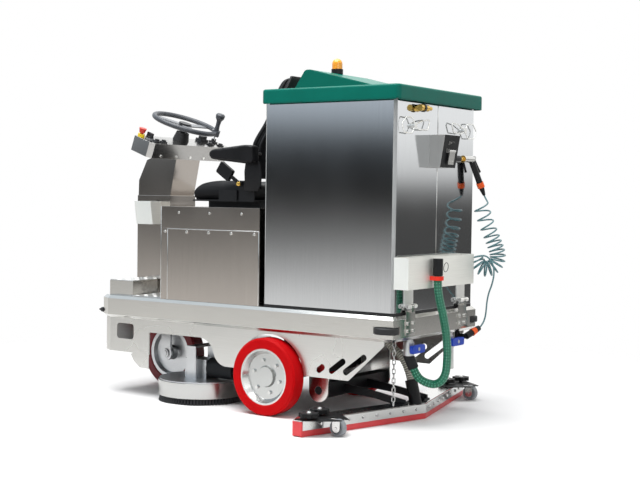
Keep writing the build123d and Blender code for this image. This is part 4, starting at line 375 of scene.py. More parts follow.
def crested(name, low_colour, crest_highlight_colour, rough, dots=None):
    """Hose wall that is paler along the crest of each rib, a painted highlight, and may have rows of dots."""
    finish, tree, shader, place = start_finish(name)
    crest = wired(tree, "Attribute", {}, attribute_name="crest").outputs["Fac"]
    # the paler crest colour is a painted highlight along the top of each rib
    colours = between(tree, crest, tone(*low_colour), tone(*crest_highlight_colour))
    if dots:
        around = wired(tree, "UVMap", {}, uv_map="around_along").outputs[0]
        rows = use_group(tree, DOT_ROWS, {"Place": around, "Rows": DOTS_AROUND_AND_ALONG})
        colours = between(tree, rows["Dot"], colours, tone(*dots))
    tree.links.new(colours, shader.inputs["Base Color"])
    grain = use_group(tree, MOULDED_GRAIN, {"Place": place, "Scale": 500.0})
    tree.links.new(ranged(tree, grain["Mottle"], rough * 0.85, rough * 1.15), shader.inputs["Roughness"])
    bumped(tree, shader, grain["Grain"], 0.04, 0.0004)
    return finish


# Finishes
ALONG_SHEET = (6.0, 300.0, 900.0)
UP_SHEET = (700.0, 700.0, 5.0)
ACROSS_SHEET = (900.0, 6.0, 700.0)
ANY_WAY = (260.0, 260.0, 260.0)

TANK_SHEET = brushed_metal("tank_sheet", (196, 198, 200), 0.085, UP_SHEET, 0.04, 0.006)
BOX_SHEET = brushed_metal("seat_box_sheet", (180, 174, 168), 0.15, UP_SHEET, 0.05, 0.01)
BAND_SHEET = brushed_metal("band_sheet", (198, 197, 193), 0.18, ALONG_SHEET, 0.06)
SKIRT_SHEET = brushed_metal("skirt_sheet", (203, 202, 198), 0.28, ALONG_SHEET, 0.05, edge=0.0005)
TRAY_SHEET = brushed_metal("tray_sheet", (226, 226, 221), 0.55, ACROSS_SHEET, 0.05)
CONSOLE_SHEET = brushed_metal("console_sheet", (176, 175, 173), 0.18, ACROSS_SHEET, 0.05)
TREAD_PLATE = brushed_metal("tread_plate", (214, 214, 212), 0.3, ANY_WAY, 0.05)
BRIGHT_STEEL = brushed_metal("bright_steel", (194, 194, 192), 0.2, ANY_WAY, 0.05)
SCREW_STEEL = brushed_metal("screw_steel", (236, 236, 233), 0.16, ANY_WAY, 0.04)
SHROUD_STEEL = brushed_metal("shroud_steel", (180, 180, 178), 0.2, ANY_WAY, 0.05)
CAST_ALLOY = brushed_metal("cast_alloy", (196, 197, 198), 0.32, ANY_WAY, 0.07, 0.05)
BOX_STEEL = brushed_metal("latch_steel", (196, 194, 190), 0.36, UP_SHEET, 0.06)
WIRE_STEEL = brushed_metal("wire_steel", (226, 226, 223), 0.42, ANY_WAY, 0.04)
BRASS = brushed_metal("brass", (212, 176, 92), 0.24, ANY_WAY, 0.07)
FRAME_PAINT = moulded("frame_paint", (25, 26, 28), 0.42, 700.0, 0.05, shine=0.2)
LID_GLOSS = moulded("lid_gloss", (0, 102, 88), 0.4, 60.0, 0.01, coat=0.16, contrast=0.05, shine=0.05,
                    edge=0.01)
BLACK_PLASTIC = moulded("black_plastic", (24, 24, 26), 0.42, shine=0.2)
KNOB_BLACK = moulded("knob_black", (18, 18, 19), 0.5, shine=0.2)
CONSOLE_BLACK = moulded("switch_black", (38, 39, 42), 0.35)
WHEEL_GRIP = moulded("steering_grip", (62, 65, 70), 0.4)
BLACK_RUBBER = moulded("black_rubber", (26, 26, 27), 0.62)
GREY_PLASTIC = moulded("grey_plastic", (120, 122, 125), 0.45)
TYRE_RED = moulded("tyre_red", (184, 8, 14), 0.45, 500.0, 0.04, contrast=0.06, shine=0.05, edge=0.003)
# darker copy of the tyre red for the drive wheel under the deck: painted shade
TYRE_RED_PAINTED_SHADE = moulded("drive_tyre_red_painted_shade", (112, 20, 28), 0.5, 500.0, 0.05)
WHEEL_DISC = brushed_metal("wheel_disc", (182, 183, 181), 0.24, ANY_WAY, 0.03)
BLADE_RED = moulded("blade_red", (206, 62, 66), 0.4, 400.0, 0.03)
HANDLE_BLUE = moulded("handle_blue", (20, 62, 176), 0.35)
STOP_RED = moulded("stop_red", (208, 52, 38), 0.35)
STOP_YELLOW = moulded("stop_yellow", (236, 204, 36), 0.4)
RING_ORANGE = moulded("ring_orange", (240, 92, 24), 0.38)
CLIP_RED = moulded("clip_red", (226, 44, 26), 0.4)
AMBER = moulded("amber_lens", (252, 158, 18), 0.18, 300.0, 0.03, coat=0.5)
SLEEVE_PALE = moulded("sleeve_pale", (206, 207, 203), 0.5, 300.0, 0.04)
BATTERY_CASE = moulded("battery_case", (44, 45, 48), 0.5)
CASTER_GREY = moulded("caster_grey", (134, 138, 142), 0.48)
SEAT_VINYL = upholstery("seat_vinyl", (15, 15, 17))
# The second colour of each ribbed hose is a painted highlight along its rib crests.
HOSE_GREEN = crested("hose_green", (0, 84, 60), (0, 116, 84), 0.34, dots=(100, 180, 150))
CURL_TEAL = crested("curl_teal", (70, 112, 118), (120, 160, 164), 0.25)
SUCTION_PALE = crested("suction_pale", (120, 118, 108), (206, 203, 190), 0.42)
BRISTLE_BLACK = moulded("bristle_black", (24, 24, 26), 0.55)
TANK_INSIDE = moulded("tank_inside", (170, 172, 172), 0.6, 300.0, 0.04, shine=0.2)


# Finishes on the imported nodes
def within(value, reach):
    return reach[0] < value < reach[1]


def coat(node, plain, *patches):
    """Coats a node all over, then the faces that belong to each patch, by their middle."""
    mesh = nodes[node].data
    mesh.materials.clear()
    mesh.materials.append(plain)
    for number, (finish, belongs) in enumerate(patches, 1):
        mesh.materials.append(finish)
        for face in mesh.polygons:
            if belongs(face.center):
                face.material_index = number


def coat_facing(node, finish, way, least):
    """Coats the faces that look along a way."""
    mesh = nodes[node].data
    mesh.materials.append(finish)
    for face in mesh.polygons:
        if face.normal.dot(Vector(way)) > least:
            face.material_index = len(mesh.materials) - 1


# Nodes that have one finish all over
PLAIN_NODES = [
    (FRAME_PAINT, "chassis_frame", "rear_axle", "seat_base", "squeegee_arm"),
    (BAND_SHEET, "chassis_band"),
    (SKIRT_SHEET, "side_skirts"),
    (TREAD_PLATE, "checker_plates"),
    (BLACK_RUBBER, "rubber_buffers", "corner_roller_left", "corner_roller_right"),
    (BOX_SHEET, "seat_box"),
    (BATTERY_CASE, "battery_blocks"),
    (SCREW_STEEL, "panel_fasteners"),
    (CONSOLE_SHEET, "console_housing"),
    (STOP_RED, "estop_button"),
    (CONSOLE_BLACK, "speed_knob"),
    (WHEEL_GRIP, "spinner_knob"),
    (BLACK_PLASTIC, "belt_buckle", "gun_trigger", "drain_cuff"),
    (LID_GLOSS, "tank_lid"),
    (GREY_PLASTIC, "vacuum_motor"),
    (TRAY_SHEET, "tank_tray"),
    (BRIGHT_STEEL, "latch_lever", "squeegee_body"),
    (HANDLE_BLUE, "valve_handle_left", "valve_handle_right"),
    (CLIP_RED, "hose_clip"),
    (CAST_ALLOY, "deck_frame"),
    (BLADE_RED, "squeegee_blades"),
    (KNOB_BLACK, "squeegee_fittings"),
]
for plain_finish, *node_names in PLAIN_NODES:
    for node_name in node_names:
        coat(node_name, plain_finish)


def from_axle(centre, axle):
    return math.hypot(centre.x - axle.x, centre.z - axle.z)


# Wheels, casters and drive
REAR_AXLE = at(0, 0, 185)
DRIVE_AXLE = at(936, 0, 185)
TYRE_FROM = 0.1345
CAP_TO = 0.054
BOLT_FACE_Y = 0.4005
CASTER_BOLT_TO = 0.014
DRIVE_MOTOR_Y = -0.0705
DRIVE_MOTOR_LOW = 0.214


def on_bolt(centre):
    return abs(centre.y) > BOLT_FACE_Y and from_axle(centre, REAR_AXLE) >= CAP_TO


for side in ("left", "right"):
    coat("rear_wheel_" + side, WHEEL_DISC, (BRIGHT_STEEL, on_bolt),
         (TYRE_RED, lambda centre: from_axle(centre, REAR_AXLE) > TYRE_FROM))
    caster_low, caster_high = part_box("caster_" + side)
    caster_axle = (caster_low + caster_high) / 2
    coat("caster_" + side, CASTER_GREY,
         (BRIGHT_STEEL, lambda centre: from_axle(centre, caster_axle) < CASTER_BOLT_TO))
# the drive tyre takes the darker red, a painted shade
coat("drive_wheel", CAST_ALLOY, (TYRE_RED_PAINTED_SHADE, lambda centre: from_axle(centre, DRIVE_AXLE) > TYRE_FROM))
coat("drive_fork", CAST_ALLOY,
     (FRAME_PAINT, lambda centre: centre.y < DRIVE_MOTOR_Y and centre.z > DRIVE_MOTOR_LOW))

# Column and console
COLUMN_SIDE_Y = 0.1035
BOOT_HALF = 0.05
STOP_BASE_Y = 0.274
STOP_BASE_LOW = 1.3345
GAUGE_Y = (0.239, 0.292)
GAUGE_X = (0.6845, 0.72)
LEVER_STEM_TO = 1.378
coat("steering_column", BOX_SHEET, (TRAY_SHEET, lambda centre: centre.y > COLUMN_SIDE_Y))
coat("console_fittings", CONSOLE_BLACK,
     (BLACK_RUBBER, lambda centre: abs(centre.y) < BOOT_HALF),
     (STOP_YELLOW, lambda centre: centre.y > STOP_BASE_Y and centre.z > STOP_BASE_LOW),
     (GREY_PLASTIC, lambda centre: within(centre.y, GAUGE_Y) and within(centre.x, GAUGE_X)))
coat("direction_lever", BLACK_PLASTIC, (BRIGHT_STEEL, lambda centre: centre.z < LEVER_STEM_TO))

STEER_LINE = Vector(JOINTS["steering_turn"]["axis"]).normalized()
STEER_POINT = Vector(JOINTS["steering_turn"]["pos_m"])
HUB_TO = 0.036
SPOKES_TO = 0.157


def from_steering_line(centre):
    arm = centre - STEER_POINT
    return (arm - STEER_LINE * arm.dot(STEER_LINE)).length


coat("steering_wheel", WHEEL_GRIP,
     (GREY_PLASTIC, lambda centre: within(from_steering_line(centre), (HUB_TO, SPOKES_TO))),
     (CONSOLE_BLACK, lambda centre: from_steering_line(centre) < HUB_TO))

# Tank and its fittings
TANK_LOW, TANK_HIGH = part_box("tank_shell")
TANK_FRONT_X = at(51, 0, 0).x
WALL = 0.002
BEACON_BASE_TO = 1.6695
NIPPLE_LOW = 1.42
NIPPLE_CAP_Y = (0.1775, 0.1885)
LATCH_SIDE_Y = -0.0725
# how squarely a latch box face must look rearwards to get its painted shade
LATCH_SHADED_FACE_FROM = 0.9


def in_tank(centre):
    long_way = TANK_LOW.x + WALL < centre.x < TANK_FRONT_X - WALL
    return long_way and abs(centre.y) < TANK_HIGH.y - WALL and centre.z > TANK_LOW.z + WALL


coat("tank_shell", TANK_SHEET, (TANK_INSIDE, in_tank))
coat("beacon", AMBER, (BLACK_PLASTIC, lambda centre: centre.z < BEACON_BASE_TO))
coat("rear_fittings", WIRE_STEEL,
     (BRASS, lambda centre: centre.z > NIPPLE_LOW),
     (CONSOLE_BLACK, lambda centre: centre.z > NIPPLE_LOW and within(centre.y, NIPPLE_CAP_Y)))
coat("latch_box", BOX_STEEL, (FRAME_PAINT, lambda centre: centre.y < LATCH_SIDE_Y))
# the latch box's rear-facing faces get black paint: a painted shade
coat_facing("latch_box", FRAME_PAINT, (-1, 0, 0), LATCH_SHADED_FACE_FROM)

# Spray gun, tap and valves
GRIP_TOP = at(-714, -284, 1222)
GRIP_RUN = at(-741, -352, 1078) - GRIP_TOP
GRIP_FROM = 0.1
GRIP_RING = (0.69, 0.865)
GUN_NOZZLE_Y = -0.197
TAP_END = at(-704, -276, 372)
TAP_WAY = Vector((-12, -36, 16)).normalized()
TAP_BRASS_FROM = 0.03
PLUG_RING_TO = 0.068
TAP_Y = -0.26
SLEEVE_Y = (-0.22, -0.16)
SLEEVE_TO = 0.3205


def down_grip(centre):
    return (centre - GRIP_TOP).dot(GRIP_RUN) / GRIP_RUN.length_squared


def along_tap(centre):
    return (centre - TAP_END).dot(TAP_WAY)


coat("spray_gun", BRIGHT_STEEL,
     (BRASS, lambda centre: centre.y > GUN_NOZZLE_Y),
     (BLACK_PLASTIC, lambda centre: down_grip(centre) > GRIP_FROM),
     (RING_ORANGE, lambda centre: within(down_grip(centre), GRIP_RING)))
coat("hose_ends", BLACK_PLASTIC,
     (RING_ORANGE, lambda centre: centre.y < 0 and along_tap(centre) < PLUG_RING_TO))
coat("water_valves", CAST_ALLOY,
     (SLEEVE_PALE, lambda centre: within(centre.y, SLEEVE_Y) and centre.z < SLEEVE_TO),
     (BLACK_PLASTIC, lambda centre: centre.y < TAP_Y),
     (BRASS, lambda centre: centre.y < TAP_Y and along_tap(centre) > TAP_BRASS_FROM))

# Brush deck
SHROUD_TOP_FROM = 0.7
BRUSH_MOTOR_X = 0.2995
coat("brush_shrouds", SHROUD_STEEL)
coat_facing("brush_shrouds", BLACK_PLASTIC, (0, 0, 1), SHROUD_TOP_FROM)
coat("brush_drives", CAST_ALLOY, (FRAME_PAINT, lambda centre: centre.x < BRUSH_MOTOR_X))


# Hoses: each follows its own smooth line
def smooth_line(points, fineness):
    """Points along a NURBS line that has the given points as its control points."""
    route = bpy.data.curves.new("route", "CURVE")
    route.dimensions = "3D"
    spline = route.splines.new("NURBS")
    spline.points.add(len(points) - 1)
    for knot, point in zip(spline.points, points):
        knot.co = (*point, 1.0)
    spline.order_u = 3
    spline.use_endpoint_u = True
    spline.resolution_u = fineness
    route.resolution_u = fineness
    holder = bpy.data.objects.new("route", route)
    mesh = bpy.data.meshes.new_from_object(holder)
    line = [vertex.co.copy() for vertex in mesh.vertices]
    bpy.data.objects.remove(holder)
    bpy.data.curves.remove(route)
    bpy.data.meshes.remove(mesh)
    return line


def marks_along(line):
    """How far along the line each of its points is."""
    marks = [0.0]
    for a, b in zip(line, line[1:]):
        marks.append(marks[-1] + (b - a).length)
    return marks


def stepped(line, count):
    """The same line with evenly spaced points."""
    marks = marks_along(line)
    evenly = []
    place = 0
    for i in range(count + 1):
        want = marks[-1] * i / count
        while place < len(line) - 2 and marks[place + 1] < want:
            place += 1
        run = max(marks[place + 1] - marks[place], 1e-9)
        evenly.append(line[place].lerp(line[place + 1], (want - marks[place]) / run))
    return evenly


def ringed_mesh(name, rings):
    """A closed skin over a row of rings that have the same number of points."""
    sides = len(rings[0])
    faces = []
    for i in range(len(rings) - 1):
        for k in range(sides):
            a = i * sides + k
            b = i * sides + (k + 1) % sides
            faces.append((a, b, b + sides, a + sides))
    faces.append(tuple(range(sides - 1, -1, -1)))
    faces.append(tuple(range((len(rings) - 1) * sides, len(rings) * sides)))
    mesh = bpy.data.meshes.new(name)
    mesh.from_pydata([point for ring in rings for point in ring], [], faces)
    mesh.update()
    return mesh


def swept(name, line, radii, crests, sides):
    """A closed tube along a line, with its own radius and crest value at each ring."""
    rings = []
    turns = [2 * math.pi * k / sides for k in range(sides)]
    side = Vector((0, 0, 1)).cross(line[1] - line[0])
    if side.length < 1e-6:
        side = Vector((1, 0, 0))
    for i, here in enumerate(line):
        ahead = (line[min(i + 1, len(line) - 1)] - line[max(i - 1, 0)]).normalized()
        side = (side - ahead * side.dot(ahead)).normalized()
        other = ahead.cross(side)
        rings.append([here + (side * math.cos(turn) + other * math.sin(turn)) * radii[i] for turn in turns])
    mesh = ringed_mesh(name, rings)
    along = marks_along(line)
    wrap = mesh.uv_layers.new(name="around_along")
    corner = 0
    for i in range(len(line) - 1):
        for k in range(sides):
            for u, v in ((k, i), (k + 1, i), (k + 1, i + 1), (k, i + 1)):
                wrap.data[corner].uv = (u / sides, along[v])
                corner += 1
    # the crest value drives the painted highlight on the hose wall
    crest = mesh.attributes.new("crest", "FLOAT", "POINT")
    for i in range(len(line)):
        for k in range(sides):
            crest.data[i * sides + k].value = crests[i]
    piece = new_piece(name, mesh)
    smooth(piece, 60.0)
    return piece


RINGS_PER_RIB = 6
HOSE_FINENESS = 12


def ribbed_hose(name, points, radius, rib, ribs):
    """A hose whose wall stands up in a row of ribs, and the line down its middle."""
    line = stepped(smooth_line(points, HOSE_FINENESS), ribs * RINGS_PER_RIB)
    radii = []
    crests = []
    for i in range(len(line)):
        wave = 0.5 - 0.5 * math.cos(2 * math.pi * i / RINGS_PER_RIB)
        radii.append(radius - rib + rib * wave)
        # how much painted highlight each ring gets, most at the rib tops
        crests.append(wave * wave)
    return swept(name, line, radii, crests, HOSE_SIDES), line


def hang(piece, node, finish):
    """Finishes a hose or chain in a node's place."""
    piece.data.materials.append(finish)
    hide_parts(node)
    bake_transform(piece)


DRAIN_ROUTE = [
    at(-674.9, 175.8, 262.5), at(-689.0, 167.2, 221.8), at(-722, 146, 196), at(-764, 118, 186),
    at(-798, 98, 222), at(-806, 93, 300), at(-805, 100, 400), at(-798, 122, 500), at(-788, 146, 580),
    at(-784, 158, 640), at(-784, 158, 692)]
DRAIN_HOSE_R = 0.020
DRAIN_RIB = 0.0024
DRAIN_RIBS = 96
HOSE_SIDES = 28
drain_hose, drain_line = ribbed_hose("drain_hose_ribbed", DRAIN_ROUTE, DRAIN_HOSE_R, DRAIN_RIB, DRAIN_RIBS)
hang(drain_hose, "drain_hose", HOSE_GREEN)

SUCTION_ROUTE = [
    at(-577.9, 31, 182.5), at(-566.5, 31, 227.1), at(-528, 35, 294), at(-472, 38, 330), at(-440, 40, 368),
    at(-440, 40, 412)]
SUCTION_R = 0.021
SUCTION_RIB = 0.0026
SUCTION_RIBS = 26
suction_hose, suction_line = ribbed_hose(
    "suction_hose_ribbed", SUCTION_ROUTE, SUCTION_R, SUCTION_RIB, SUCTION_RIBS)
hang(suction_hose, "suction_hose", SUCTION_PALE)

CURL_AXIS = [
    at(-752, -309, 1017), at(-765, -327, 949), at(-786, -345, 882), at(-809, -360, 819), at(-824, -370, 765),
    at(-813, -360, 718), at(-780, -330, 698), at(-747, -300, 718), at(-736, -290, 765)]
CURL_PITCHES = [(0.0, 40.0), (0.28, 36.0), (0.42, 20.0), (0.55, 16.0), (1.0, 17.0)]
CURL_TURNS = 17.25
CURL_COIL_R = 0.0365
CURL_TUBE_R = 0.004
CURL_ACROSS = Vector((0.67, -0.743, 0.0))
CURL_START = math.pi / 2
POINTS_PER_TURN = 16
CURL_SIDES = 10
CURL_CREST = 0.3
CURL_TAIL = [
    at(-800, -284, 772), at(-832, -294, 736), at(-838, -300, 684), at(-822, -312, 632), at(-790, -338, 584),
    at(-766, -368, 536), at(-752, -390, 488), at(-744, -392, 446)]
GUN_TAIL = at(-744.2, -360.2, 1060.7)
GUN_WAY = Vector((-27, -68, -144)).normalized()
PLUG_END = TAP_END + TAP_WAY * 0.094


def curl_pitch(share):
    for (share_0, pitch_0), (share_1, pitch_1) in zip(CURL_PITCHES, CURL_PITCHES[1:]):
        if share <= share_1:
            return pitch_0 + (pitch_1 - pitch_0) * (share - share_0) / (share_1 - share_0)
    return CURL_PITCHES[-1][1]


def curl_points():
    """Points of the helix round the hanging line, some to each turn."""
    fine = 2000
    axis = stepped(smooth_line(CURL_AXIS, 24), fine)
    wound = [0.0]
    for i in range(fine):
        wound.append(wound[-1] + 1 / curl_pitch((i + 0.5) / fine))
    count = round(CURL_TURNS * POINTS_PER_TURN)
    helix = []
    place = 0
    for i in range(count + 1):
        while place < fine - 1 and wound[place] < wound[-1] * i / count:
            place += 1
        ahead = (axis[place + 1] - axis[max(place - 1, 0)]).normalized()
        across = (CURL_ACROSS - ahead * CURL_ACROSS.dot(ahead)).normalized()
        angle = CURL_START + 2 * math.pi * i / POINTS_PER_TURN
        out = across * math.cos(angle) + ahead.cross(across) * math.sin(angle)
        helix.append(axis[place] + out * CURL_COIL_R)
    return helix


CURL_ROUTE = [GUN_TAIL, GUN_TAIL + GUN_WAY * 0.008] + curl_points() + CURL_TAIL
CURL_ROUTE += [PLUG_END + TAP_WAY * 0.012, PLUG_END]
curl_line = smooth_line(CURL_ROUTE, 4)
curl_radii = [CURL_TUBE_R] * len(curl_line)
curl_crests = [CURL_CREST] * len(curl_line)
curly_hose = swept("curly_hose_tube", curl_line, curl_radii, curl_crests, CURL_SIDES)
hang(curly_hose, "curly_hose", CURL_TEAL)

lift_chain = merged_copy("lift_chain", "lift_chain_links")
smooth(lift_chain, 60.0)
hang(lift_chain, "lift_chain", BRIGHT_STEEL)


# Upholstery
SWELL_STEPS = 20
FILL_PRESSURE = 4.0
SEAM = 0.006
PAD_INSET = 0.003
PAD_VOXEL = 0.007


def swell(piece, voxel, most):
    """Fills a pad from within, and lets no point move further than most."""
    remesh = piece.modifiers.new("skin", "REMESH")
    remesh.mode = "VOXEL"
    remesh.voxel_size = voxel
    apply_all(piece)
    start = [vertex.co.copy() for vertex in piece.data.vertices]
    cloth = piece.modifiers.new("filling", "CLOTH")
    cloth.settings.use_pressure = True
    cloth.settings.uniform_pressure_force = FILL_PRESSURE
    cloth.settings.effector_weights.gravity = 0.0
    cloth.point_cache.frame_start = 1
    cloth.point_cache.frame_end = SWELL_STEPS
    for step in range(1, SWELL_STEPS + 1):
        scene.frame_set(step)
    shown = piece.evaluated_get(bpy.context.evaluated_depsgraph_get()).to_mesh()
    ends = [vertex.co.copy() for vertex in shown.vertices]
    piece.modifiers.remove(cloth)
    scene.frame_set(1)
    for vertex, before, after in zip(piece.data.vertices, start, ends):
        move = after - before
        if move.length > most:
            move = move.normalized() * most
        vertex.co = before + move
    piece.data.update()


def refine(piece):
    finer = piece.modifiers.new("finer", "SUBSURF")
    finer.levels = 1
    finer.render_levels = 1
    apply_all(piece)
    pick(piece)
    bpy.ops.object.shade_smooth()


def sew(piece, distance_to_seam):
    """Draws the surface in along a seam, where distance_to_seam says how far off a point is."""
    skin = [(vertex.co.copy(), vertex.normal.copy()) for vertex in piece.data.vertices]
    for vertex, (place, normal) in zip(piece.data.vertices, skin):
        off = distance_to_seam(place, normal)
        if off is not None and off < 3 * SEAM:
            vertex.co = place - normal * (SEAM * math.exp(-((off / SEAM) ** 2)))
    piece.data.update()


def inside_box(piece, node):
    """Keeps every point of a pad within its node's own box."""
    low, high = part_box(node)
    for vertex in piece.data.vertices:
        for axis in range(3):
            vertex.co[axis] = min(max(vertex.co[axis], low[axis]), high[axis])
    piece.data.update()


def drawn_in(piece, amount):
    open_up(piece)
    bpy.ops.mesh.normals_make_consistent(inside=False)
    bpy.ops.transform.shrink_fatten(value=-amount)
    put_down()


BOLSTER_FROM = 0.09
BOLSTER_RUN = 0.08
FRONT_INSET = 0.01
FRONT_RUN = 0.16
MIDDLE_LIFT = 0.006
BOLSTER_LIFT = 0.016
UNDERSIDE = 0.007


def raise_sides(pad):
    """Fills the cushion out upwards, most along its two sides, and rounds its front down."""
    low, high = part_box("seat_cushion")
    for vertex in pad.data.vertices:
        share = max(0.0, (vertex.co.z - low.z) / (high.z - low.z))
        side = min(1.0, max(0.0, (abs(vertex.co.y) - BOLSTER_FROM) / BOLSTER_RUN))
        front = min(1.0, max(0.0, (high.x - FRONT_INSET - vertex.co.x) / FRONT_RUN))
        lift = (MIDDLE_LIFT + BOLSTER_LIFT * side * side * (3 - 2 * side)) * front * (2 - front)
        settled = vertex.co.z if vertex.co.z > low.z + UNDERSIDE else low.z
        vertex.co.z = max(low.z, settled + share * lift)
    pad.data.update()


def make_seat_cushion():
    pad = merged_copy("seat_cushion", "seat_cushion_pad")
    drawn_in(pad, PAD_INSET)
    swell(pad, PAD_VOXEL, 0.006)
    refine(pad)
    bolster_y = 0.152
    front_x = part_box("seat_cushion")[1].x - 0.085

    def off_seam(place, normal):
        if normal.z < 0.3:
            return None
        return min(abs(abs(place.y) - bolster_y), abs(place.x - front_x) if abs(place.y) < bolster_y else 1.0)

    raise_sides(pad)
    sew(pad, off_seam)
    fit(pad, BODY_OF["seat_cushion"], "seat_black", SEAT_VINYL, "seat_cushion")


make_seat_cushion()

# Backrest: height, rear of the board, front of the pad, half width
BACK_STATIONS = [
    (1126, 188, 262, 232), (1200, 194, 281, 238), (1297, 176, 263, 234), (1440, 116, 205, 190),
    (1560, 90, 172, 152), (1636, 78, 146, 118)]
BACK_LOWEST = BACK_STATIONS[0][0]
BACK_HIGHEST = BACK_STATIONS[-1][0]
BACK_BOARD = 14.0
BACK_LEVELS = 40
BACK_SIDES = 56
BACK_SQUARENESS = 2.0 / 3.4
BACK_CROWN = 26.0
END_DRAW = 0.45
END_NARROWS = 40.0
PANEL_LOW = at(0, 0, 1180).z
PANEL_MIDDLE = at(0, 0, 1330).z
PANEL_HIGH = at(0, 0, 1560).z
PANEL_SHARE = 0.62
PIPING_SETBACK = 14.0


def back_at(height):
    """The board's rear, the pad's front and the half width at a height."""
    for low, high in zip(BACK_STATIONS, BACK_STATIONS[1:]):
        if height <= high[0]:
            break
    share = (height - low[0]) / (high[0] - low[0])
    ease = share * share * (3 - 2 * share) * 0.35 + share * 0.65
    return [a + (b - a) * ease for a, b in zip(low[1:], high[1:])]


def rounded(share):
    return math.copysign(abs(share) ** BACK_SQUARENESS, share)


def make_back_pad():
    """Padded front of the backrest, with a sewn panel and a seam along each side."""
    rings = []
    for i in range(BACK_LEVELS + 1):
        share = 0.5 - 0.5 * math.cos(math.pi * i / BACK_LEVELS)
        height = BACK_LOWEST + (BACK_HIGHEST - BACK_LOWEST) * share
        rear, front, half = back_at(height)
        rear += BACK_BOARD
        to_end = min(height - BACK_LOWEST, BACK_HIGHEST - height) / BACK_CROWN
        draw = 1.0
        if to_end < 1:
            draw = math.sqrt(max(0.0, 1 - (1 - to_end) ** 2)) * (1 - END_DRAW) + END_DRAW
        deep = (front - rear) / 2
        ring = []
        for k in range(BACK_SIDES):
            turn = 2 * math.pi * k / BACK_SIDES
            x = rear + deep * draw + rounded(math.cos(turn)) * deep * draw
            y = rounded(math.sin(turn)) * (half - (1 - draw) * END_NARROWS)
            ring.append(at(x, y, height))
        rings.append(ring)
    pad = new_piece("backrest_pad", ringed_mesh("backrest_pad", rings))
    drawn_in(pad, PAD_INSET)
    swell(pad, PAD_VOXEL, 0.007)
    refine(pad)

    def off_seam(place, normal):
        rear, front, half = back_at(min(max(place.z / MM, BACK_LOWEST), BACK_HIGHEST))
        if normal.x < 0.15:
            if abs(normal.y) <= 0.5:
                return None
            return abs(place.x - at((rear + BACK_BOARD + front) / 2 - PIPING_SETBACK, 0, 0).x)
        bolster = PANEL_SHARE * half * MM
        off = [abs(abs(place.y) - bolster)] if PANEL_LOW < place.z < PANEL_HIGH else [1.0]
        if abs(place.y) < bolster:
            off += [abs(place.z - level) for level in (PANEL_LOW, PANEL_MIDDLE, PANEL_HIGH)]
        return min(off)

    sew(pad, off_seam)
    for vertex in pad.data.vertices:
        rear = back_at(min(max(vertex.co.z / MM, BACK_LOWEST), BACK_HIGHEST))[0]
        vertex.co.x = max(vertex.co.x, at(rear + BACK_BOARD + 0.3, 0, 0).x)
    inside_box(pad, "backrest")
    fit(pad, "backrest", "seat_black", SEAT_VINYL, "backrest")


def thicken(piece, move):
    """Pulls a flat piece out into a plate."""
    open_up(piece)
    bpy.ops.mesh.extrude_region_move(TRANSFORM_OT_translate={"value": move})
    bpy.ops.mesh.select_all(action="SELECT")
    bpy.ops.mesh.normals_make_consistent(inside=False)
    put_down()


def side_plate(name, outline, inner, outer):
    """A plate cut to an outline of forward and height, between two places across."""
    put_down()
    bpy.ops.mesh.primitive_circle_add(vertices=len(outline), fill_type="NGON")
    plate = bpy.context.object
    plate.name = name
    for vertex, (forward, height) in zip(plate.data.vertices, outline):
        vertex.co = at(forward, inner, height)
    thicken(plate, (0, (outer - inner) * MM, 0))
    return plate


# Outline of the cover over each backrest hinge, as places forward and up
HINGE_COVER = [
    (226, 1062), (246, 1066), (252, 1084), (250, 1120), (252, 1160), (246, 1200), (232, 1226), (200, 1232),
    (172, 1222), (154, 1190), (146, 1140), (148, 1096), (168, 1066)]


def make_back_board():
    """Moulded back shell, with the plates it folds on and the armrest pins."""
    points = []
    faces = []
    steps = 24
    for i in range(steps + 1):
        height = BACK_LOWEST + (BACK_HIGHEST - BACK_LOWEST) * i / steps
        rear, _, half = back_at(height)
        for y in (-half + 3, half - 3):
            points.append(at(rear, y, height))
    for i in range(steps):
        faces.append((2 * i, 2 * i + 2, 2 * i + 3, 2 * i + 1))
    mesh = bpy.data.meshes.new("backrest_shell")
    mesh.from_pydata(points, [], faces)
    mesh.update()
    shell = new_piece("backrest_shell", mesh)
    thicken(shell, (BACK_BOARD * MM, 0, 0))
    soften(shell, 0.004, 3)
    pieces = [shell]
    for sign in (1, -1):
        y_low, y_high = sorted((sign * 256, sign * 262))
        link_low, link_high = sorted((sign * 220, sign * 257))
        cover = side_plate("hinge_cover", HINGE_COVER, sign * 262, sign * 271)
        soften(cover, 0.0042, 4)
        pieces += [
            block("fold_plate", at(192, y_low, 1080), at(250, y_high, 1162), 0.002),
            drum("fold_boss", at(236, y_low, 1080), at(236, y_high, 1080), 0.016, edge=0.0012),
            block("fold_link", at(191, link_low, 1130), at(202, link_high, 1162), 0.0012),
            drum("armrest_pin", at(186, sign * 225, 1248), at(186, sign * 319, 1248), 0.009, 24, edge=0.001),
            cover]
    shell = joined("backrest_shell", pieces)
    smooth(shell)
    fit(shell, "backrest", "black_plastic", BLACK_PLASTIC, "backrest")


make_back_pad()
make_back_board()


def make_armrest(side):
    node = "armrest_" + side
    pad = merged_copy(node, node + "_pad")
    open_up(pad)
    bpy.ops.mesh.dissolve_limited(angle_limit=math.radians(1.0))
    put_down()
    drawn_in(pad, 0.002)
    soften(pad, 0.012, 4, 50.0)
    swell(pad, 0.005, 0.003)
    refine(pad)
    inside_box(pad, node)
    fit(pad, BODY_OF[node], "seat_black", SEAT_VINYL, node)


make_armrest("left")
make_armrest("right")


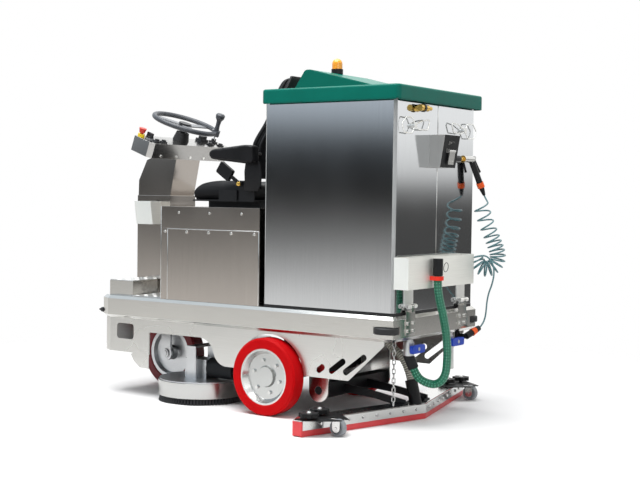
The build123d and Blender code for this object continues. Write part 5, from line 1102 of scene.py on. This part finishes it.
# Brushes: a backing disc with rings of splayed tufts
BRUSH_RINGS = 5
RING_PITCH = 0.030
TUFTS_PER_RING = 84
TUFT_ROOT_R = 0.0048
TUFT_TIP_R = 0.0082
TUFT_ROOT_DEPTH = 0.015
TUFT_FLARE = 0.010
TUFT_SWAY = 0.003
TIP_INSET = 0.008
BRUSH_DISC_R = 0.205
BRUSH_DISC_DEEP = 0.017
BRUSH_HUB_R = 0.034
BRUSH_HUB_DEEP = 0.032
RIM_INSET = 0.008


def make_brush(side):
    node = "brush_" + side
    low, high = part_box(node)
    middle = (low + high) / 2
    top = high.z
    reach = (high.x - low.x) / 2 - TIP_INSET

    def under(depth):
        return Vector((middle.x, middle.y, top - depth))

    disc = drum("disc", under(BRUSH_DISC_DEEP), under(0.0), BRUSH_DISC_R, 64, edge=0.003)
    hub = drum("hub", under(BRUSH_HUB_DEEP), under(0.001), BRUSH_HUB_R, 40, edge=0.002)
    tufts = drum("tuft", Vector((0, 0, 0)), Vector((0, 0, -1)), TUFT_ROOT_R, 6, TUFT_TIP_R)
    open_up(tufts)
    bpy.ops.mesh.subdivide(number_cuts=1)
    put_down()
    places = []
    for ring in range(BRUSH_RINGS):
        inner = BRUSH_DISC_R - RIM_INSET - RING_PITCH * ring
        flare = reach - inner if ring == 0 else TUFT_FLARE
        root = Matrix.Translation((inner, 0, top - TUFT_ROOT_DEPTH))
        for i in range(TUFTS_PER_RING):
            turn = 2 * math.pi * (i + 0.5 * (ring % 2)) / TUFTS_PER_RING
            sway = TUFT_SWAY * math.sin(7.0 * turn + ring)
            lean = Matrix.Identity(4)
            lean[0][2] = -(flare + sway)
            lean[1][2] = -sway
            lean[2][2] = top - TUFT_ROOT_DEPTH - low.z
            around = Matrix.Translation((middle.x, middle.y, 0)) @ Matrix.Rotation(turn, 4, "Z")
            places.append(around @ root @ lean)
    bristles = set_out("tufts", tufts, places)
    bristles.data.materials.append(BRISTLE_BLACK)
    for part in (disc, hub):
        part.data.materials.append(BLACK_PLASTIC)
    brush = joined("brush_tufts_" + side, [bristles, disc, hub])
    smooth(brush)
    fit(brush, BODY_OF[node], "bristle", BRISTLE_BLACK, node)


make_brush("left")
make_brush("right")


# Raised tread on the foot plates
STUD_PITCH = 0.030
STUD_MARGIN = 0.016
TREAD_PLATES = [
    (at(702, -340, 0), at(924, 340, 516)), (at(927, 105, 0), at(1088, 338, 592)),
    (at(927, -338, 0), at(1088, -105, 592))]


def make_tread():
    """Raised lozenges on the floor plate and both steps, every other one turned."""
    stud = block("stud", Vector((-0.012, -0.0032, -0.0005)), Vector((0.012, 0.0032, 0.0012)))
    for vertex in stud.data.vertices:
        if vertex.co.z > 0:
            vertex.co.x *= 0.72
            vertex.co.y *= 0.5
    soften(stud, 0.0008)
    places = []
    for low, high in TREAD_PLATES:
        long = high.x - low.x - 2 * STUD_MARGIN
        wide = high.y - low.y - 2 * STUD_MARGIN
        rows = int(long / STUD_PITCH)
        columns = int(wide / STUD_PITCH)
        for i in range(rows + 1):
            for k in range(columns + 1):
                x = low.x + STUD_MARGIN + long * i / max(rows, 1)
                y = low.y + STUD_MARGIN + wide * k / max(columns, 1)
                turn = math.radians(45 if (i + k) % 2 else -45)
                places.append(Matrix.Translation((x, y, high.z)) @ Matrix.Rotation(turn, 4, "Z"))
    tread = set_out("tread_lozenges", stud, places)
    smooth(tread)
    fit(tread, "chassis", "aluminium", TREAD_PLATE)


# Small fittings: folded edges of the sheet doors as low and high places forward and up, seam, bolts and loop
HEM_PLACES = [(73, 658, 869, 873), (654, 658, 514, 869), (73, 77, 514, 869), (698, 702, 514, 983)]
SEAM_HEIGHTS = [(782, 1182), (1338, 1478)]
FINE_EDGE = 0.0008


def make_strips(name, corners, body, slot):
    """Thin bright strips between pairs of corners, joined into one piece."""
    strips = joined(name, [block(name, low, high, FINE_EDGE) for low, high in corners])
    smooth(strips)
    fit(strips, body, slot, BRIGHT_STEEL)


def make_hems():
    hems = []
    for y_low, y_high in ((374.6, 376.4), (-376.4, -374.6)):
        for low_x, high_x, low_z, high_z in HEM_PLACES:
            hems.append((at(low_x, y_low, low_z), at(high_x, y_high, high_z)))
    make_strips("seat_box_hems", hems, "chassis", "stainless")
    beads = [(at(-683.2, -2.5, low), at(-681.5, 2.5, high)) for low, high in SEAM_HEIGHTS]
    make_strips("tank_seam", beads, "tank", "mirror_stainless")


def hex_bolt(name, seat, way, *drums):
    """A washer and a head on a seat, each with its start and end along the way, its radius and its sides."""
    parts = []
    for start, end, radius, sides in drums:
        parts.append(drum(name, seat + way * start, seat + way * end, radius, sides, edge=FINE_EDGE))
    return joined(name, parts)


def make_buckle_bolt():
    pivot = Vector(JOINTS["buckle_swing"]["pos_m"])
    seat = Vector((pivot.x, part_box("belt_buckle")[1].y, pivot.z))
    washer = (-0.001, 0.002, 0.011, 32)
    head = (0.001, 0.009, 0.009, 6)
    bolt = hex_bolt("buckle_bolt", seat, Vector((0, 1, 0)), washer, head)
    smooth(bolt)
    fit(bolt, "belt_buckle", "brass", BRASS)


# Places of the squeegee's knobs on the left, in the machine's own frame
KNOB_TOP = 103
KNOB_PLACES = [(-435, 581), (-456, 694)]


def make_knob_bolts():
    """Bright bolt and washer in the middle of each knob on the squeegee."""
    seat = at(0, 0, KNOB_TOP)
    washer = (0.0, 0.002, 0.0115, 28)
    head = (0.0015, 0.007, 0.0085, 6)
    bolt = hex_bolt("bolt", seat, Vector((0, 0, 1)), washer, head)
    places = []
    for forward, out in KNOB_PLACES:
        for sign in (1, -1):
            places.append(Matrix.Translation((forward * MM, sign * out * MM, 0)))
    bolts = set_out("knob_bolts", bolt, places)
    smooth(bolts)
    fit(bolts, BODY_OF["squeegee_fittings"], "bright_steel", SCREW_STEEL)


LOOP_R = 0.021
LOOP_CORD_R = 0.0014
LOOP_TURN = math.radians(84)


def make_cuff_loop():
    """Cord loop that holds the drain hose's cap on its upper cuff."""
    put_down()
    bpy.ops.mesh.primitive_torus_add(
        major_radius=LOOP_R, minor_radius=LOOP_CORD_R, major_segments=40, minor_segments=8)
    loop = bpy.context.object
    loop.data.transform(Matrix.Translation(at(-802, 116, 729)) @ Matrix.Rotation(LOOP_TURN, 4, "Y"))
    smooth(loop, 80.0)
    loop.name = "cuff_loop"
    fit(loop, BODY_OF["drain_cuff"], "black_plastic", BLACK_PLASTIC)


make_hems()
make_buckle_bolt()
make_knob_bolts()
make_cuff_loop()


# Floor, light and camera
FLOOR_R = 9.0
FLOOR_Z = -0.0005
FLOOR_FADES = (1.3, 3.2)


def make_floor():
    """Pale floor that fades out well behind the machine."""
    put_down()
    bpy.ops.mesh.primitive_circle_add(vertices=96, radius=FLOOR_R, fill_type="NGON", location=(0, 0, FLOOR_Z))
    floor = bpy.context.object
    floor.name = "studio_floor"
    place_in_mesh(floor)
    finish, tree, shader, place = start_finish("studio_floor")
    shader.inputs["Base Color"].default_value = (0.93, 0.93, 0.93, 1.0)
    shader.inputs["Roughness"].default_value = 0.9
    shader.inputs["Specular IOR Level"].default_value = 0.1
    away = wired(tree, "VectorMath", {0: place}, operation="LENGTH").outputs["Value"]
    fade = mapped(tree, away, *FLOOR_FADES, kind="SMOOTHSTEP")
    clear = wired(tree, "BsdfTransparent", {}).outputs[0]
    mix = wired(tree, "MixShader", {0: fade, 1: shader.outputs[0], 2: clear})
    tree.links.new(mix.outputs[0], tree.nodes["Material Output"].inputs["Surface"])
    floor.data.materials.append(finish)


# What bright metal mirrors: how bright the room is at each height, first to the left, then to the right
HEIGHT_REACH = 0.25
LEFT_ROOM = [
    (-0.25, 1.1), (-0.12, 1.1), (-0.085, 1.05), (-0.061, 0.6), (-0.037, 0.28), (-0.016, 0.11), (0.0, 0.02),
    (0.03, 0.02), (0.044, 0.09), (0.055, 0.34), (0.068, 0.66), (0.09, 0.85), (0.25, 1.0)]
RIGHT_ROOM = [
    (-0.25, 0.95), (-0.15, 0.8), (-0.118, 0.6), (-0.1, 0.28), (-0.086, 0.1), (-0.01, 0.09), (0.004, 0.28),
    (0.02, 0.98), (0.05, 1.3), (0.25, 1.35)]
COOL = (0.9, 1.0, 1.1)
WARM = (1.0, 0.99, 0.97)
NEUTRAL = (1.0, 1.0, 0.99)
ROOM_WAY = (0.57, 0.82, 0.0)
SIDE_REACH = 0.4
PLAIN_LIGHT = (0.38, 0.384, 0.39, 1.0)


def room_ramp(tree, height, levels, above, below):
    ramp = tree.nodes.new("ShaderNodeValToRGB")
    while len(ramp.color_ramp.elements) < len(levels):
        ramp.color_ramp.elements.new(0.5)
    for element, (lift, level) in zip(ramp.color_ramp.elements, levels):
        element.position = (lift + HEIGHT_REACH) / (2 * HEIGHT_REACH)
        tint = above if lift > 0 else below
        element.color = (*(level * share for share in tint), 1.0)
    tree.links.new(height, ramp.inputs[0])
    return ramp.outputs[0]


def make_world():
    """White behind the machine; a plain soft room that its metal mirrors, darker along the horizon."""
    world = bpy.data.worlds.new("studio")
    scene.world = world
    world.use_nodes = True
    tree = world.node_tree
    tree.nodes.clear()
    towards = wired(tree, "TexCoord", {}).outputs["Generated"]
    up = wired(tree, "SeparateXYZ", {0: towards}).outputs["Z"]
    height = mapped(tree, up, -HEIGHT_REACH, HEIGHT_REACH)
    facing = wired(tree, "VectorMath", {0: towards, 1: ROOM_WAY}, operation="DOT_PRODUCT").outputs["Value"]
    side = mapped(tree, facing, -SIDE_REACH, SIDE_REACH)
    right = room_ramp(tree, height, RIGHT_ROOM, NEUTRAL, WARM)
    left = room_ramp(tree, height, LEFT_ROOM, COOL, WARM)
    mirrored = wired(tree, "Background", {"Color": between(tree, side, right, left)}).outputs[0]
    plain = wired(tree, "Background", {"Color": PLAIN_LIGHT}).outputs[0]
    white = wired(tree, "Background", {"Color": (1.0, 1.0, 1.0, 1.0)}).outputs[0]
    rays = wired(tree, "LightPath", {}).outputs
    shiny = wired(tree, "MixShader", {0: rays["Is Glossy Ray"], 1: plain, 2: mirrored}).outputs[0]
    seen = wired(tree, "MixShader", {0: rays["Is Camera Ray"], 1: shiny, 2: white}).outputs[0]
    wired(tree, "OutputWorld", {"Surface": seen})


def soft_lamp(name, place, aim, size, power):
    lamp = bpy.data.lights.new(name, "AREA")
    lamp.shape = "RECTANGLE"
    lamp.size = size
    lamp.size_y = size
    lamp.energy = power
    holder = bpy.data.objects.new(name, lamp)
    scene.collection.objects.link(holder)
    holder.location = place
    holder.rotation_mode = "QUATERNION"
    holder.rotation_quaternion = (aim - place).to_track_quat("-Z", "Y")


CAMERA_PLACE = (-3.6845, 5.028, 1.05)
CAMERA_TURNS = (55.26, 2.4, -0.769)
LENS_MM = 69.0
SENSOR_MM = 36.0


def make_camera():
    """Camera at the photograph's place, turned by its yaw, pitch and roll."""
    yaw, pitch, roll = (math.radians(turn) for turn in CAMERA_TURNS)
    forward = Vector((math.cos(pitch) * math.cos(yaw), -math.cos(pitch) * math.sin(yaw), -math.sin(pitch)))
    right = Vector((-math.sin(yaw), -math.cos(yaw), 0.0))
    down = forward.cross(right)
    across = right * math.cos(roll) + down * math.sin(roll)
    below = down * math.cos(roll) - right * math.sin(roll)
    lens = bpy.data.cameras.new("photo_view")
    lens.lens = LENS_MM
    lens.sensor_width = SENSOR_MM
    camera = bpy.data.objects.new("photo_view", lens)
    scene.collection.objects.link(camera)
    turned = Matrix((across, -below, -forward)).transposed().to_4x4()
    camera.matrix_world = Matrix.Translation(CAMERA_PLACE) @ turned
    scene.camera = camera


make_tread()
make_floor()
make_world()
MIDDLE = Vector((0.0, 0.0, 0.7))
soft_lamp("overhead", Vector((0.1, 1.0, 5.1)), MIDDLE, 4.5, 420.0)
soft_lamp("rear_left", Vector((-4.6, 3.2, 3.4)), MIDDLE, 3.0, 60.0)
make_camera()
scene.view_settings.view_transform = "Standard"
